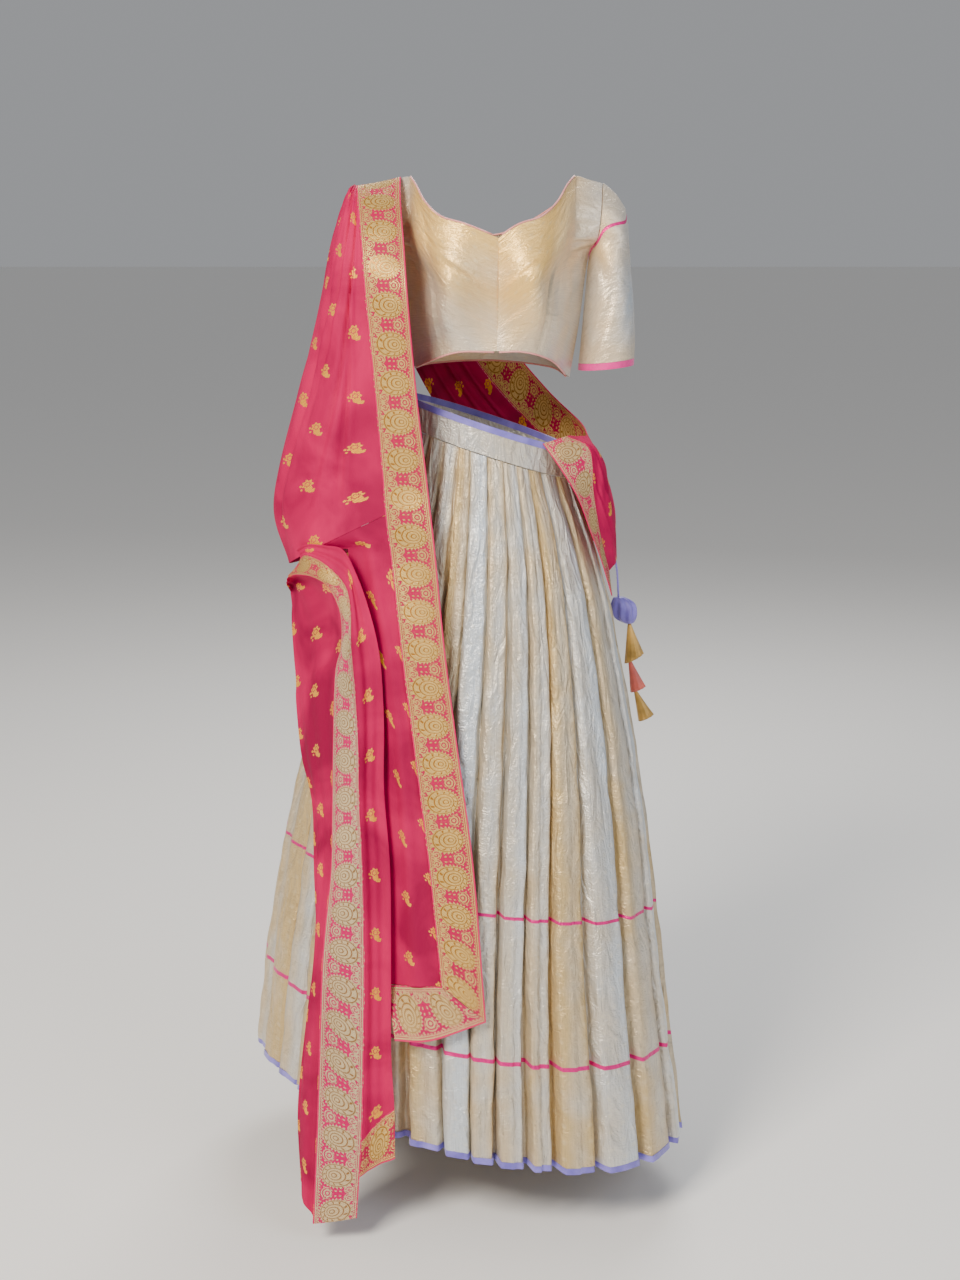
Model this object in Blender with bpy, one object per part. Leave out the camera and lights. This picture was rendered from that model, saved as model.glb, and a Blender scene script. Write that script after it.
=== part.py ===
# Half sari worn hollow: short blouse, box pleated skirt, draped stole and side tie.
# Metres, +Z up, wearer faces -Y, the origin is the centre of the waistband's top edge.

import math

import bpy
import numpy as np

for leftover in list(bpy.data.objects):
    bpy.data.objects.remove(leftover, do_unlink=True)

# Driving dimensions
SILK_WALL = 0.0016
GEORGETTE_WALL = 0.0012
BAND_WALL = 0.0022
PIPING_RADIUS = 0.0019
SEAM_GAP = 0.0003
BAND_DEPTH = 0.042
BAND_EDGE_DEPTH = 0.0095
BAND_TILT = -0.33
BAND_FRONT_Z = 0.003
WAIST_HALF_WIDTH = 0.124
WAIST_HALF_DEPTH = 0.092
HEM_EDGE_DEPTH = 0.0090
SLEEVE_BAND_DEPTH = 0.0100

# Cloth colours, linear values
COLOURS = {
    "tissue_silk": (0.62, 0.50, 0.30, 1.0),
    "pink_satin": (0.76, 0.09, 0.28, 1.0),
    "lavender_satin": (0.27, 0.24, 0.57, 1.0),
    "pink_georgette": (0.72, 0.02, 0.15, 1.0),
    "zari_border": (0.76, 0.30, 0.18, 1.0),
    "gold_silk": (0.70, 0.47, 0.13, 1.0),
    "salmon_silk": (0.75, 0.20, 0.16, 1.0),
    "tie_cord": (0.27, 0.24, 0.57, 1.0),
}

# Skirt levels, metres: height at the middle, side and front reach, pleat depth
SKIRT_LEVELS = (
    # z, left x, right x, front y, back y, shear, tilt, pleat
    (-0.0423, -0.124, 0.124, -0.093, 0.091, 0.00, -0.330, 0.0022),
    (-0.120, -0.150, 0.152, -0.114, 0.114, 0.04, -0.270, 0.0060),
    (-0.200, -0.177, 0.177, -0.135, 0.134, 0.08, -0.220, 0.0090),
    (-0.310, -0.209, 0.200, -0.162, 0.152, 0.13, -0.180, 0.0120),
    (-0.450, -0.255, 0.226, -0.194, 0.174, 0.18, -0.150, 0.0150),
    (-0.600, -0.297, 0.247, -0.224, 0.195, 0.22, -0.130, 0.0180),
    (-0.750, -0.329, 0.264, -0.251, 0.212, 0.25, -0.120, 0.0200),
    (-0.900, -0.354, 0.283, -0.276, 0.228, 0.27, -0.110, 0.0220),
    (-1.035, -0.372, 0.300, -0.296, 0.240, 0.29, -0.110, 0.0240),
)

# Pleat edges as degrees from the front, at the waist and at the hem
PLEAT_EDGES = (
    (-42.9, -40.0),
    (-29.8, -27.0),
    (-19.6, -15.0),
    (-10.7, -5.2),
    (0.0, 2.3),
    (10.7, 8.9),
    (20.3, 17.1),
    (29.8, 24.0),
    (40.2, 36.9),
    (55.3, 54.0),
    (70.0, 72.7),
)
BACK_PLEATS = 24
PLEAT_SHARES = ((0.10, 0.0), (0.26, 1.0), (0.74, 0.86), (0.90, 0.0))

materials = {}
for label, colour in COLOURS.items():
    made = bpy.data.materials.new(label)
    made.use_nodes = True
    shader = made.node_tree.nodes["Principled BSDF"]
    shader.inputs["Base Color"].default_value = colour
    shader.inputs["Roughness"].default_value = 0.55
    made.diffuse_color = colour
    materials[label] = made


def curve(places, values, at):
    # Smooth curve through rows of values
    places = np.asarray(places, float)
    values = np.asarray(values, float)
    at = np.asarray(at, float)
    extra = (1,) * (values.ndim - 1)
    slopes = np.empty_like(values)
    slopes[1:-1] = (values[2:] - values[:-2]) / (places[2:] - places[:-2]).reshape((-1,) + extra)
    slopes[0] = (values[1] - values[0]) / (places[1] - places[0])
    slopes[-1] = (values[-1] - values[-2]) / (places[-1] - places[-2])
    cell = np.clip(np.searchsorted(places, at, side="right") - 1, 0, len(places) - 2)
    width = (places[cell + 1] - places[cell]).reshape((-1,) + extra)
    s = ((at - places[cell]) / (places[cell + 1] - places[cell])).reshape((-1,) + extra)
    h00 = 2 * s**3 - 3 * s**2 + 1
    h10 = s**3 - 2 * s**2 + s
    h01 = -2 * s**3 + 3 * s**2
    h11 = s**3 - s**2
    first = h00 * values[cell] + h10 * width * slopes[cell]
    return first + h01 * values[cell + 1] + h11 * width * slopes[cell + 1]


def through(points, count):
    # Smooth line through points, evenly shared
    points = np.asarray(points, float)
    places = np.linspace(0.0, 1.0, len(points))
    return curve(places, points, np.linspace(0.0, 1.0, count))


def grid_normals(grid, closed):
    if closed:
        along = np.roll(grid, -1, 1) - np.roll(grid, 1, 1)
    else:
        along = np.gradient(grid, axis=1)
    down = np.gradient(grid, axis=0)
    normal = np.cross(along, down)
    length = np.linalg.norm(normal, axis=2, keepdims=True)
    return normal / np.maximum(length, 1e-9)


def new_object(name, vertices, faces, material):
    mesh = bpy.data.meshes.new(name)
    mesh.from_pydata([tuple(v) for v in vertices], [], faces)
    mesh.materials.append(materials[material])
    for polygon in mesh.polygons:
        polygon.use_smooth = True
    mesh.update()
    thing = bpy.data.objects.new(name, mesh)
    bpy.context.scene.collection.objects.link(thing)
    return thing


def sheet(name, material, grid, wall, closed=False, normal=None):
    # Cloth wall on both sides of a grid of points, closed round its edges
    if normal is None:
        normal = grid_normals(grid, closed)
    rows, columns = grid.shape[:2]
    front = (grid + normal * wall / 2).reshape(-1, 3)
    behind = (grid - normal * wall / 2).reshape(-1, 3)
    count = rows * columns
    faces = []
    last = columns if closed else columns - 1
    for i in range(rows - 1):
        for j in range(last):
            k = (j + 1) % columns
            a = i * columns + j
            b = i * columns + k
            c = (i + 1) * columns + k
            d = (i + 1) * columns + j
            if (i + j) % 2:
                pair = ((a, b, c), (a, c, d))
            else:
                pair = ((a, b, d), (b, c, d))
            for p, q, r in pair:
                faces.append((p, r, q))
                faces.append((p + count, q + count, r + count))
    rim = []
    for j in range(last):
        k = (j + 1) % columns
        rim.append((j, k))
        rim.append(((rows - 1) * columns + k, (rows - 1) * columns + j))
    if not closed:
        for i in range(rows - 1):
            rim.append(((i + 1) * columns, i * columns))
            rim.append((i * columns + columns - 1, (i + 1) * columns + columns - 1))
    for p, q in rim:
        faces.append((p, q, q + count))
        faces.append((p, q + count, p + count))
    thing = new_object(name, np.vstack((front, behind)), faces, material)
    volume = signed_volume(thing)
    if volume < 0:
        thing.data.flip_normals()
    return thing


def signed_volume(thing):
    total = 0.0
    points = thing.data.vertices
    for polygon in thing.data.polygons:
        p, q, r = [points[i].co for i in polygon.vertices]
        total += p.dot(q.cross(r))
    return total


def tube(name, material, path, radius, sides=6, closed=False):
    # Round piping along a path
    path = np.asarray(path, float)
    if closed:
        tangent = np.roll(path, -1, 0) - np.roll(path, 1, 0)
    else:
        tangent = np.gradient(path, axis=0)
    tangent /= np.linalg.norm(tangent, axis=1, keepdims=True)
    side = np.cross(tangent[0], (0.0, 0.0, 1.0))
    if np.linalg.norm(side) < 0.2:
        side = np.cross(tangent[0], (0.0, 1.0, 0.0))
    vertices = []
    for place, direction in zip(path, tangent):
        side = side - direction * np.dot(side, direction)
        side = side / np.linalg.norm(side)
        up = np.cross(direction, side)
        for k in range(sides):
            turn = 2 * math.pi * k / sides
            vertices.append(place + radius * (math.cos(turn) * side + math.sin(turn) * up))
    faces = []
    count = len(path)
    for i in range(count if closed else count - 1):
        for k in range(sides):
            a = i * sides + k
            b = i * sides + (k + 1) % sides
            c = ((i + 1) % count) * sides + (k + 1) % sides
            d = ((i + 1) % count) * sides + k
            faces.append((a, b, c))
            faces.append((a, c, d))
    if not closed:
        for k in range(1, sides - 1):
            faces.append((0, k + 1, k))
            base = (count - 1) * sides
            faces.append((base, base + k, base + k + 1))
    thing = new_object(name, vertices, faces, material)
    if signed_volume(thing) < 0:
        thing.data.flip_normals()
    return thing


def inset(grid, left=0.0, right=0.0, top=0.0, bottom=0.0):
    # Draw the edges in by seam gaps
    out = grid.copy()
    if left:
        step = grid[:, 1] - grid[:, 0]
        out[:, 0] += left * step / np.linalg.norm(step, axis=1, keepdims=True)
    if right:
        step = grid[:, -2] - grid[:, -1]
        out[:, -1] += right * step / np.linalg.norm(step, axis=1, keepdims=True)
    if top:
        step = grid[1] - grid[0]
        out[0] += top * step / np.linalg.norm(step, axis=1, keepdims=True)
    if bottom:
        step = grid[-2] - grid[-1]
        out[-1] += bottom * step / np.linalg.norm(step, axis=1, keepdims=True)
    return out


def joined(grid, first=None, last=None):
    # Normals of a grid that share a neighbour's at its side edges
    normal = grid_normals(grid, False)
    if first is not None:
        normal[:, 0] = first
    if last is not None:
        normal[:, -1] = last
    return normal


def across(left, right, columns, fold=None):
    # Rows of cloth between two edges with folds added along the wall's normal
    share = np.linspace(0.0, 1.0, columns)[None, :, None]
    grid = left[:, None, :] * (1 - share) + right[:, None, :] * share
    if fold is not None:
        grid = grid + grid_normals(grid, False) * fold[:, :, None]
    return grid


def patch(bottom, top, first, last, rows, columns):
    # Four sided patch between edge curves
    u = np.linspace(0.0, 1.0, columns)[None, :, None]
    v = np.linspace(0.0, 1.0, rows)[:, None, None]
    bottom = through(bottom, columns)[None]
    top = through(top, columns)[None]
    first = through(first, rows)[:, None]
    last = through(last, rows)[:, None]
    ruled = (1 - v) * bottom + v * top + (1 - u) * first + u * last
    corner = (1 - u) * (1 - v) * bottom[:, :1] + u * (1 - v) * bottom[:, -1:]
    return ruled - corner - (1 - u) * v * top[:, :1] - u * v * top[:, -1:]


# Skirt
def pleat_columns():
    # Degrees from the front at waist and hem with the pleat's share of depth
    edges = list(PLEAT_EDGES)
    waist_step = (360.0 - 70.0 - 42.9) / BACK_PLEATS
    hem_step = (360.0 - 72.7 - 40.0) / BACK_PLEATS
    for k in range(1, BACK_PLEATS):
        sway = 1.1 * math.sin(k * 2.3)
        edges.append((70.0 + waist_step * k, 72.7 + hem_step * k + sway))
    edges.append((360.0 - 42.9, 360.0 - 40.0))
    columns = []
    for (waist, hem), (next_waist, next_hem) in zip(edges, edges[1:]):
        for share, depth in PLEAT_SHARES:
            at_waist = waist + share * (next_waist - waist)
            at_hem = hem + share * (next_hem - hem)
            columns.append((at_waist, at_hem, depth))
    return columns


PLEATS = np.array(pleat_columns())


def skirt_ring(z, columns, lift=0.0):
    # One level of the skirt, the pleats opening toward the hem
    table = np.array(SKIRT_LEVELS)
    order = -table[:, 0]
    values = curve(order, table[:, 1:], np.array([-z]))[0]
    left, right, front, back, shear, tilt, pleat = values
    share = np.clip((-z - 0.0423) / (1.035 - 0.0423), 0.0, 1.0)
    turn = np.radians(columns[:, 0] * (1 - share) + columns[:, 1] * share)
    middle = (left + right) / 2
    half = (right - left) / 2
    depth = pleat * (columns[:, 2] - 1.0) + lift
    side = np.sin(turn)
    ahead = np.cos(turn)
    reach = np.where(ahead > 0, -front, back)
    x = middle + (half + depth) * side
    y = -(reach + depth) * ahead - shear * (x - middle)
    height = z + tilt * (x - middle * min(1.0, share * 3))
    return np.stack((x, y, height), 1)


def skirt_grid(levels, columns):
    return np.stack([skirt_ring(z, columns) for z in levels], 0)


def build_skirt():
    levels = (-0.0423, -0.105, -0.19, -0.31, -0.46, -0.64, -0.83, -1.035 + HEM_EDGE_DEPTH)
    grid = skirt_grid(levels, PLEATS)
    degrees = PLEATS[:, 0]
    first = int(np.argmin(np.abs(degrees - 90.0)))
    first -= first % 4
    last = int(np.argmin(np.abs(degrees - 270.0)))
    last -= last % 4
    count = len(degrees)
    front = [k % count for k in range(last, count + first + 1)]
    back = [k % count for k in range(first, last + 1)]
    gap = SEAM_GAP / 2
    normal = grid_normals(grid, True)
    for name, part in (("skirt_front_panel", front), ("skirt_back_panel", back)):
        cloth = inset(grid[:, part], gap, gap)
        sheet(name, "tissue_silk", cloth, SILK_WALL, False, normal[:, part])
    hem_levels = (-1.035 + HEM_EDGE_DEPTH - SEAM_GAP, -1.035)
    sheet("skirt_hem_edge", "lavender_satin", skirt_grid(hem_levels, PLEATS), SILK_WALL, True)
    return grid


def band_ring(depth, count=56):
    # Waistband ring at a depth under the tilted top edge
    turn = np.linspace(0.0, 2 * math.pi, count, endpoint=False)
    swell = 0.10 * depth
    x = (WAIST_HALF_WIDTH - 0.004 + swell) * np.sin(turn)
    y = -(WAIST_HALF_DEPTH - 0.004 + swell) * np.cos(turn)
    z = BAND_FRONT_Z + BAND_TILT * x - depth
    return np.stack((x, y, z), 1)


def build_band():
    edge = np.stack([band_ring(d) for d in (0.0, BAND_EDGE_DEPTH)], 0)
    sheet("waistband_edge", "lavender_satin", edge, BAND_WALL, True)
    low = BAND_FRONT_Z + 0.0423 - SEAM_GAP - 0.0012
    depths = (BAND_EDGE_DEPTH + SEAM_GAP, 0.026, low)
    band = np.stack([band_ring(d) for d in depths], 0)
    return sheet("waistband", "tissue_silk", band, BAND_WALL, True)


# Blouse edge curves, first point at the centre front or the back's middle
def blouse_curves(side):
    # side is 1 for the wearer's left and -1 for the wearer's right
    if side > 0:
        tip = (0.166, 0.004, 0.342)
        neck = (0.128, 0.000, 0.352)
        armpit = (0.147, 0.004, 0.238)
        low = (0.121, 0.004, 0.064)
    else:
        tip = (-0.152, 0.004, 0.3420)
        neck = (-0.112, 0.000, 0.3510)
        armpit = (-0.134, 0.004, 0.232)
        low = (-0.110, 0.004, 0.078)
    centre_low = (0.014, -0.112, 0.110)
    centre_top = (0.016, -0.112, 0.266)
    reach = 1.0 if side > 0 else -1.0
    shift = 0.0 if side > 0 else 0.012
    hem = (
        centre_low,
        (reach * 0.052 + shift, -0.108, 0.110),
        (reach * 0.092 + shift, -0.078, 0.096),
        low,
    )
    neckline = (
        centre_top,
        (reach * 0.050 + shift, -0.112, 0.287),
        (reach * 0.088 + shift, -0.088, 0.300),
        (reach * 0.108 + shift, -0.050, 0.330),
        (neck[0] - reach * 0.003, -0.010, neck[2] - 0.002),
        neck,
    )
    shoulder = ((np.array(neck) + np.array(tip)) / 2, tip)
    neckline = np.vstack((through(neckline, 7), shoulder))
    seam = (
        low,
        (low[0] + (armpit[0] - low[0]) * 0.52, -0.002, low[2] + 0.083),
        armpit,
        (tip[0] * 0.955, -0.026, 0.266),
        (tip[0] * 0.985, -0.026, 0.308),
        tip,
    )
    return hem, neckline, seam, (centre_low, (0.015, -0.104, 0.150), (0.016, -0.110, 0.210), centre_top)


def blouse_front(side, rows, columns):
    hem, neckline, seam, centre = blouse_curves(side)
    grid = patch(hem, neckline, centre, seam, rows, columns)
    x = grid[:, :, 0]
    z = grid[:, :, 2]
    apex = 0.074 if side > 0 else -0.056
    cup = np.exp(-(((x - apex) / 0.040) ** 2) - ((z - 0.190) / 0.052) ** 2)
    share = np.linspace(0.0, 1.0, columns)[None, :]
    fade = np.minimum(1.0, (1.0 - share) * 5.0)
    grid[:, :, 1] -= 0.042 * cup * fade
    grid[:, :, 0] += side * 0.004 * cup * fade
    return grid


def blouse_back(rows, columns):
    right = blouse_curves(-1)
    left = blouse_curves(1)
    low_r, low_l = np.array(right[0][-1]), np.array(left[0][-1])
    tip_r, tip_l = np.array(right[1][-1]), np.array(left[1][-1])
    neck_r, neck_l = np.array(right[1][6]), np.array(left[1][6])
    gap = np.array((0.0, SEAM_GAP, 0.0))
    hem = (low_r + gap, (-0.078, 0.072, 0.082), (0.008, 0.096, 0.084), (0.094, 0.074, 0.076), low_l + gap)
    curve_points = (neck_r, (-0.086, 0.048, 0.306), (0.008, 0.078, 0.268), (0.102, 0.050, 0.312), neck_l)
    neckline = through(curve_points, 11)
    top = np.vstack((tip_r, (tip_r + neck_r) / 2, neckline, (tip_l + neck_l) / 2, tip_l)) + gap
    sides = []
    for curves in (right, left):
        seam = np.array(curves[2])
        back = seam.copy()
        back[1:5, 1] = 0.008 - seam[1:5, 1] * 1.1
        back[0, 1] += SEAM_GAP
        back[2, 1] = seam[2, 1] + SEAM_GAP
        back[1, 1] = seam[1, 1] + 0.010
        back[5, 1] += SEAM_GAP
        sides.append(back)
    grid = patch(hem, top, sides[0], sides[1], rows, columns)
    share = np.linspace(0.0, 1.0, columns)[None, :]
    rise = np.linspace(0.0, 1.0, rows)[:, None]
    grid[:, :, 1] -= 0.022 * np.sin(math.pi * share) * np.sin(math.pi * rise)
    return grid


# Roundness of the sleeve cap down the sleeve, and how much of it each arm shows
CAP_RUN = (0.0, 0.08, 0.18, 0.27, 0.50, 0.78, 1.0)
CAP_OUT = (0.0, 0.015, 0.025, 0.024, 0.013, 0.005, 0.0)
CAP_SHARE = {1: 1.0, -1: 0.2}


def sleeve_grid(side, front, back, rows, hem_ring):
    # From the armhole made by the front and back edges to the sleeve hem
    start = int(front.shape[0] * 2 / 5)
    loop_front = front[start:, -1 if side > 0 else -1]
    edge = back[start:, -1 if side > 0 else 0]
    ring = np.vstack((loop_front, edge[::-1][1:-1]))
    centre = ring.mean(0)
    hem_ring = hem_ring(len(ring), ring, centre)
    out = []
    for s in np.linspace(0.0, 1.0, rows):
        ease = s * s * (3 - 2 * s) * 0.35 + s * 0.65
        out.append(ring * (1 - ease) + hem_ring * ease)
    grid = np.stack(out, 0)
    return grid


def cap_swell(grid):
    # Outward roundness of the sleeve's cap, none at the armpit
    swell = np.interp(np.linspace(0.0, 1.0, len(grid)), CAP_RUN, CAP_OUT)[:, None]
    middle = grid[0].mean(0)
    angle = np.arctan2(grid[0, :, 1] - middle[1], grid[0, :, 2] - middle[2])
    return swell * ((1.0 + np.cos(angle)) / 2)[None, :]


def beside(line, inner):
    # A piping's middle line, square to the cloth's edge and clear of it
    along = np.gradient(line, axis=0)
    along /= np.linalg.norm(along, axis=1, keepdims=True)
    away = line - inner
    away -= along * np.sum(away * along, axis=1, keepdims=True)
    away /= np.linalg.norm(away, axis=1, keepdims=True)
    return line + away * (PIPING_RADIUS + SEAM_GAP * 1.5)


def build_blouse():
    rows, columns = 11, 9
    fronts = {}
    for side, name in ((-1, "blouse_front_right"), (1, "blouse_front_left")):
        grid = blouse_front(side, rows, columns)
        fronts[side] = grid
        sheet(name, "tissue_silk", inset(grid, left=SEAM_GAP), SILK_WALL)
    back = blouse_back(rows, 15)
    shifted = back.copy()
    shifted[:, :, 1] += 0.0012
    sheet("blouse_back", "tissue_silk", shifted, SILK_WALL)
    hems = {
        1: ((0.176, 0.006, 0.089), (0.040, 0.047), 0.10),
        -1: ((-0.203, 0.004, 0.100), (0.038, 0.042), -0.16),
    }
    for side, name in ((-1, "right"), (1, "left")):
        middle, reach, slope = hems[side]

        def hem_ring(count, ring, centre, middle=middle, reach=reach, slope=slope):
            angle = np.arctan2(ring[:, 1] - centre[1], ring[:, 2] - centre[2])
            x = middle[0] + side * reach[0] * np.cos(angle)
            y = middle[1] + reach[1] * np.sin(angle)
            z = middle[2] + slope * (x - middle[0])
            return np.stack((x, y, z), 1)

        grid = sleeve_grid(side, fronts[side], shifted, 10, hem_ring)
        grid[0] += np.array((side * 0.0019, 0.0, 0.0))
        grid[1:4] += np.array((side * 0.0012, 0.0, 0.0))
        run = np.linspace(0.0, 1.0, 10)[:, None]
        outward = grid - grid.mean(1, keepdims=True)
        outward /= np.linalg.norm(outward, axis=2, keepdims=True)
        away = np.clip(outward[:, :, 0] * side + 0.35, 0.0, 1.0)
        puff = np.sin(math.pi * run) * 0.006 * away
        grid = grid + outward * puff[:, :, None]
        grid[:, :, 0] += side * CAP_SHARE[side] * cap_swell(grid)
        sheet("sleeve_" + name, "tissue_silk", grid, SILK_WALL, True)
        fall = grid[-1] - grid[-2]
        fall /= np.linalg.norm(fall, axis=1, keepdims=True)
        band = np.stack((grid[-1] + fall * SEAM_GAP, grid[-1] + fall * SLEEVE_BAND_DEPTH), 0)
        sheet("sleeve_band_" + name, "pink_satin", band, SILK_WALL, True)
    # Piping just beyond the neckline and the hem
    for side, name in ((-1, "right"), (1, "left")):
        grid = fronts[side]
        line = beside(grid[-1], grid[-2])[:6]
        line[0] += (grid[-1, 1] - grid[-1, 0]) * 0.25
        tube("neck_piping_" + name, "pink_satin", line, PIPING_RADIUS)
        line = beside(grid[0], grid[1])
        line[0] += (grid[0, 1] - grid[0, 0]) * 0.25
        tube("hem_piping_front_" + name, "pink_satin", line[:-1], PIPING_RADIUS)
    tube("hem_piping_back", "pink_satin", beside(shifted[0], shifted[1])[1:-1], PIPING_RADIUS)
    tube("neck_piping_back", "pink_satin", beside(shifted[-1], shifted[-2])[4:-4], PIPING_RADIUS)


# Stole edges, each row one height: x, y, z of the left edge then of the right edge
FRONT_BORDER = (
    (-0.1880, 0.062, 0.3140, -0.1240, 0.062, 0.3240),
    (-0.1890, 0.026, 0.3346, -0.1240, 0.026, 0.3456),
    (-0.1874, -0.012, 0.3366, -0.1239, -0.012, 0.3484),
    (-0.1832, -0.060, 0.3120, -0.1217, -0.064, 0.3114),
    (-0.1771, -0.100, 0.2632, -0.1164, -0.108, 0.2633),
    (-0.1698, -0.122, 0.1770, -0.1091, -0.150, 0.1775),
    (-0.1588, -0.122, 0.0539, -0.0990, -0.140, 0.0547),
    (-0.1496, -0.124, -0.0573, -0.0867, -0.134, -0.0561),
    (-0.1450, -0.132, -0.1200, -0.0795, -0.142, -0.1190),
    (-0.1372, -0.142, -0.1839, -0.0725, -0.155, -0.1813),
    (-0.1228, -0.170, -0.3089, -0.0598, -0.182, -0.3067),
    (-0.1057, -0.197, -0.4395, -0.0427, -0.207, -0.4368),
    (-0.0828, -0.237, -0.6134, -0.0190, -0.245, -0.6100),
    (-0.0657, -0.272, -0.7784, -0.0014, -0.285, -0.8269),
)

# Left edge of the tail that hangs beside the front border
TAIL_LEFT = (
    (-0.1980, -0.1297, -0.1524),
    (-0.1990, -0.1285, -0.1760),
    (-0.1950, -0.130, -0.2080),
    (-0.1760, -0.148, -0.3130),
    (-0.1560, -0.174, -0.4437),
    (-0.1460, -0.212, -0.6201),
    (-0.1434, -0.240, -0.7886),
)

# Drape over the arm at each of its rows: front, outermost and back points
ARM_DRAPE = (
    # front x, y, z, outer x, y, z, back x, y, z
    (-0.1880, 0.062, 0.3140, -0.1935, 0.070, 0.3100, -0.2000, 0.080, 0.3030),
    (-0.1890, 0.026, 0.3380, -0.1955, 0.036, 0.3330, -0.2030, 0.050, 0.3240),
    (-0.1874, -0.012, 0.3400, -0.1975, 0.000, 0.3330, -0.2100, 0.044, 0.3100),
    (-0.1832, -0.060, 0.3120, -0.2090, 0.000, 0.3060, -0.2150, 0.056, 0.2850),
    (-0.1771, -0.100, 0.2632, -0.2260, 0.000, 0.2510, -0.2200, 0.062, 0.2400),
    (-0.1698, -0.122, 0.1770, -0.2500, 0.000, 0.1420, -0.2380, 0.064, 0.1400),
    (-0.1588, -0.122, 0.0539, -0.2780, 0.000, 0.0400, -0.2600, 0.062, 0.0300),
    (-0.1496, -0.124, -0.0573, -0.3170, -0.004, -0.1160, -0.2920, 0.050, -0.1220),
    (-0.1450, -0.132, -0.1200, -0.2920, -0.034, -0.2060, -0.2820, 0.012, -0.2120),
)

# Falling side: outer cloth's edge, border's left and right edges, roll's right edge
FALL_ROWS = (
    # outer x, y, z, border left x, y, z, border right x, y, z, roll x, y, z
    (-0.2960, -0.056, -0.2360, -0.2909, -0.078, -0.2181, -0.2700, -0.098, -0.1890, -0.2774, -0.090, -0.1779),
    (-0.2920, -0.066, -0.2560, -0.2693, -0.106, -0.2120, -0.2592, -0.118, -0.1806, -0.2600, -0.112, -0.1660),
    (-0.2890, -0.074, -0.2760, -0.2480, -0.128, -0.2120, -0.2317, -0.140, -0.1889, -0.2300, -0.134, -0.1640),
    (-0.2883, -0.082, -0.3064, -0.2264, -0.150, -0.2230, -0.2005, -0.158, -0.2188, -0.2048, -0.148, -0.1682),
    (-0.2850, -0.092, -0.3400, -0.2100, -0.164, -0.2560, -0.1930, -0.170, -0.2577, -0.1859, -0.160, -0.2000),
    (-0.2810, -0.100, -0.3750, -0.2080, -0.176, -0.3016, -0.1926, -0.180, -0.3016, -0.1673, -0.168, -0.2520),
    (-0.2793, -0.110, -0.4094, -0.2166, -0.184, -0.3400, -0.1884, -0.186, -0.3520, -0.1529, -0.174, -0.3183),
    (-0.2719, -0.124, -0.4784, -0.2200, -0.200, -0.4300, -0.1830, -0.202, -0.4350, -0.1474, -0.186, -0.4088),
    (-0.2543, -0.164, -0.5379, -0.2213, -0.218, -0.5245, -0.1814, -0.220, -0.5243, -0.1476, -0.202, -0.5075),
    (-0.2502, -0.200, -0.6255, -0.2230, -0.238, -0.6150, -0.1771, -0.240, -0.6134, -0.1390, -0.226, -0.6168),
    (-0.2480, -0.222, -0.7306, -0.2345, -0.262, -0.7300, -0.1745, -0.264, -0.7475, -0.1378, -0.250, -0.7515),
    (-0.2620, -0.244, -0.8447, -0.2392, -0.282, -0.8389, -0.1765, -0.284, -0.8859, -0.1380, -0.270, -0.8800),
    (-0.2748, -0.262, -0.9700, -0.2439, -0.302, -0.9754, -0.1797, -0.304, -1.0003, -0.1335, -0.284, -0.9603),
    (-0.2712, -0.278, -1.0779, -0.2516, -0.312, -1.1271, -0.1878, -0.312, -1.1176, -0.1330, -0.292, -1.0352),
)

# How far down the border's last stretch the roll's last rows come
ROLL_END = (0.0, 0.24, 0.47)

# Hollow left for the hand below the wrist: depth, and share of the fall it runs down
HAND_HOLLOW = 0.045
HAND_RUN = 0.42

# How far the drape's lower rows move onto the roll at the wrist
WRIST_LEAN = (-0.0100, -0.0180, 0.0030)

# Layer that hangs behind the arm: its loose left corner points and its right edge
BACK_FALL_LOW = (
    (-0.3000, 0.056, -0.3000),
    (-0.2950, 0.060, -0.4000),
    (-0.2880, 0.066, -0.4850),
)
BACK_FALL_EDGE = (
    (-0.1900, 0.086, 0.2900),
    (-0.1850, 0.112, 0.2000),
    (-0.1800, 0.136, 0.1000),
    (-0.1850, 0.150, -0.0200),
    (-0.1950, 0.158, -0.1500),
    (-0.2100, 0.164, -0.2800),
    (-0.2250, 0.170, -0.4000),
    (-0.2400, 0.176, -0.5000),
)

# Stretch across the back, upper then lower edge, ending at the left side
BACK_STRETCH = (
    (-0.1240, 0.0625, 0.3236, -0.1880, 0.0625, 0.3136),
    (-0.0950, 0.100, 0.2850, -0.1700, 0.104, 0.2300),
    (-0.0350, 0.128, 0.2000, -0.1250, 0.132, 0.1000),
    (0.0300, 0.134, 0.1100, -0.0500, 0.142, -0.0300),
    (0.0950, 0.118, 0.0350, 0.0500, 0.142, -0.1300),
    (0.1420, 0.070, -0.0080, 0.1450, 0.108, -0.1850),
    (0.1500, 0.0125, -0.0220, 0.1920, 0.0105, -0.1950),
)

# Hip part from the left side to its border's far edge: three edges in each row
HIP_ROWS = (
    # side x, y, z, border right x, y, z, border left x, y, z
    (0.1500, 0.012, -0.0220, 0.1171, -0.063, -0.0147, 0.0811, -0.0676, -0.0260),
    (0.1690, 0.000, -0.0560, 0.1500, -0.060, -0.0349, 0.1081, -0.096, -0.0626),
    (0.1830, 0.000, -0.0960, 0.1545, -0.076, -0.0900, 0.1316, -0.104, -0.1018),
    (0.1910, 0.000, -0.1300, 0.1600, -0.086, -0.1300, 0.1500, -0.104, -0.1500),
    (0.1930, 0.004, -0.1600, 0.1680, -0.084, -0.1688, 0.1655, -0.094, -0.1900),
    (0.1920, 0.010, -0.1950, 0.1790, -0.072, -0.2116, 0.1835, -0.080, -0.2480),
)

ROW_STEPS = 22


def edge(table, first, rows=ROW_STEPS):
    return through(np.array(table)[:, first:first + 3], rows)


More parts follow.
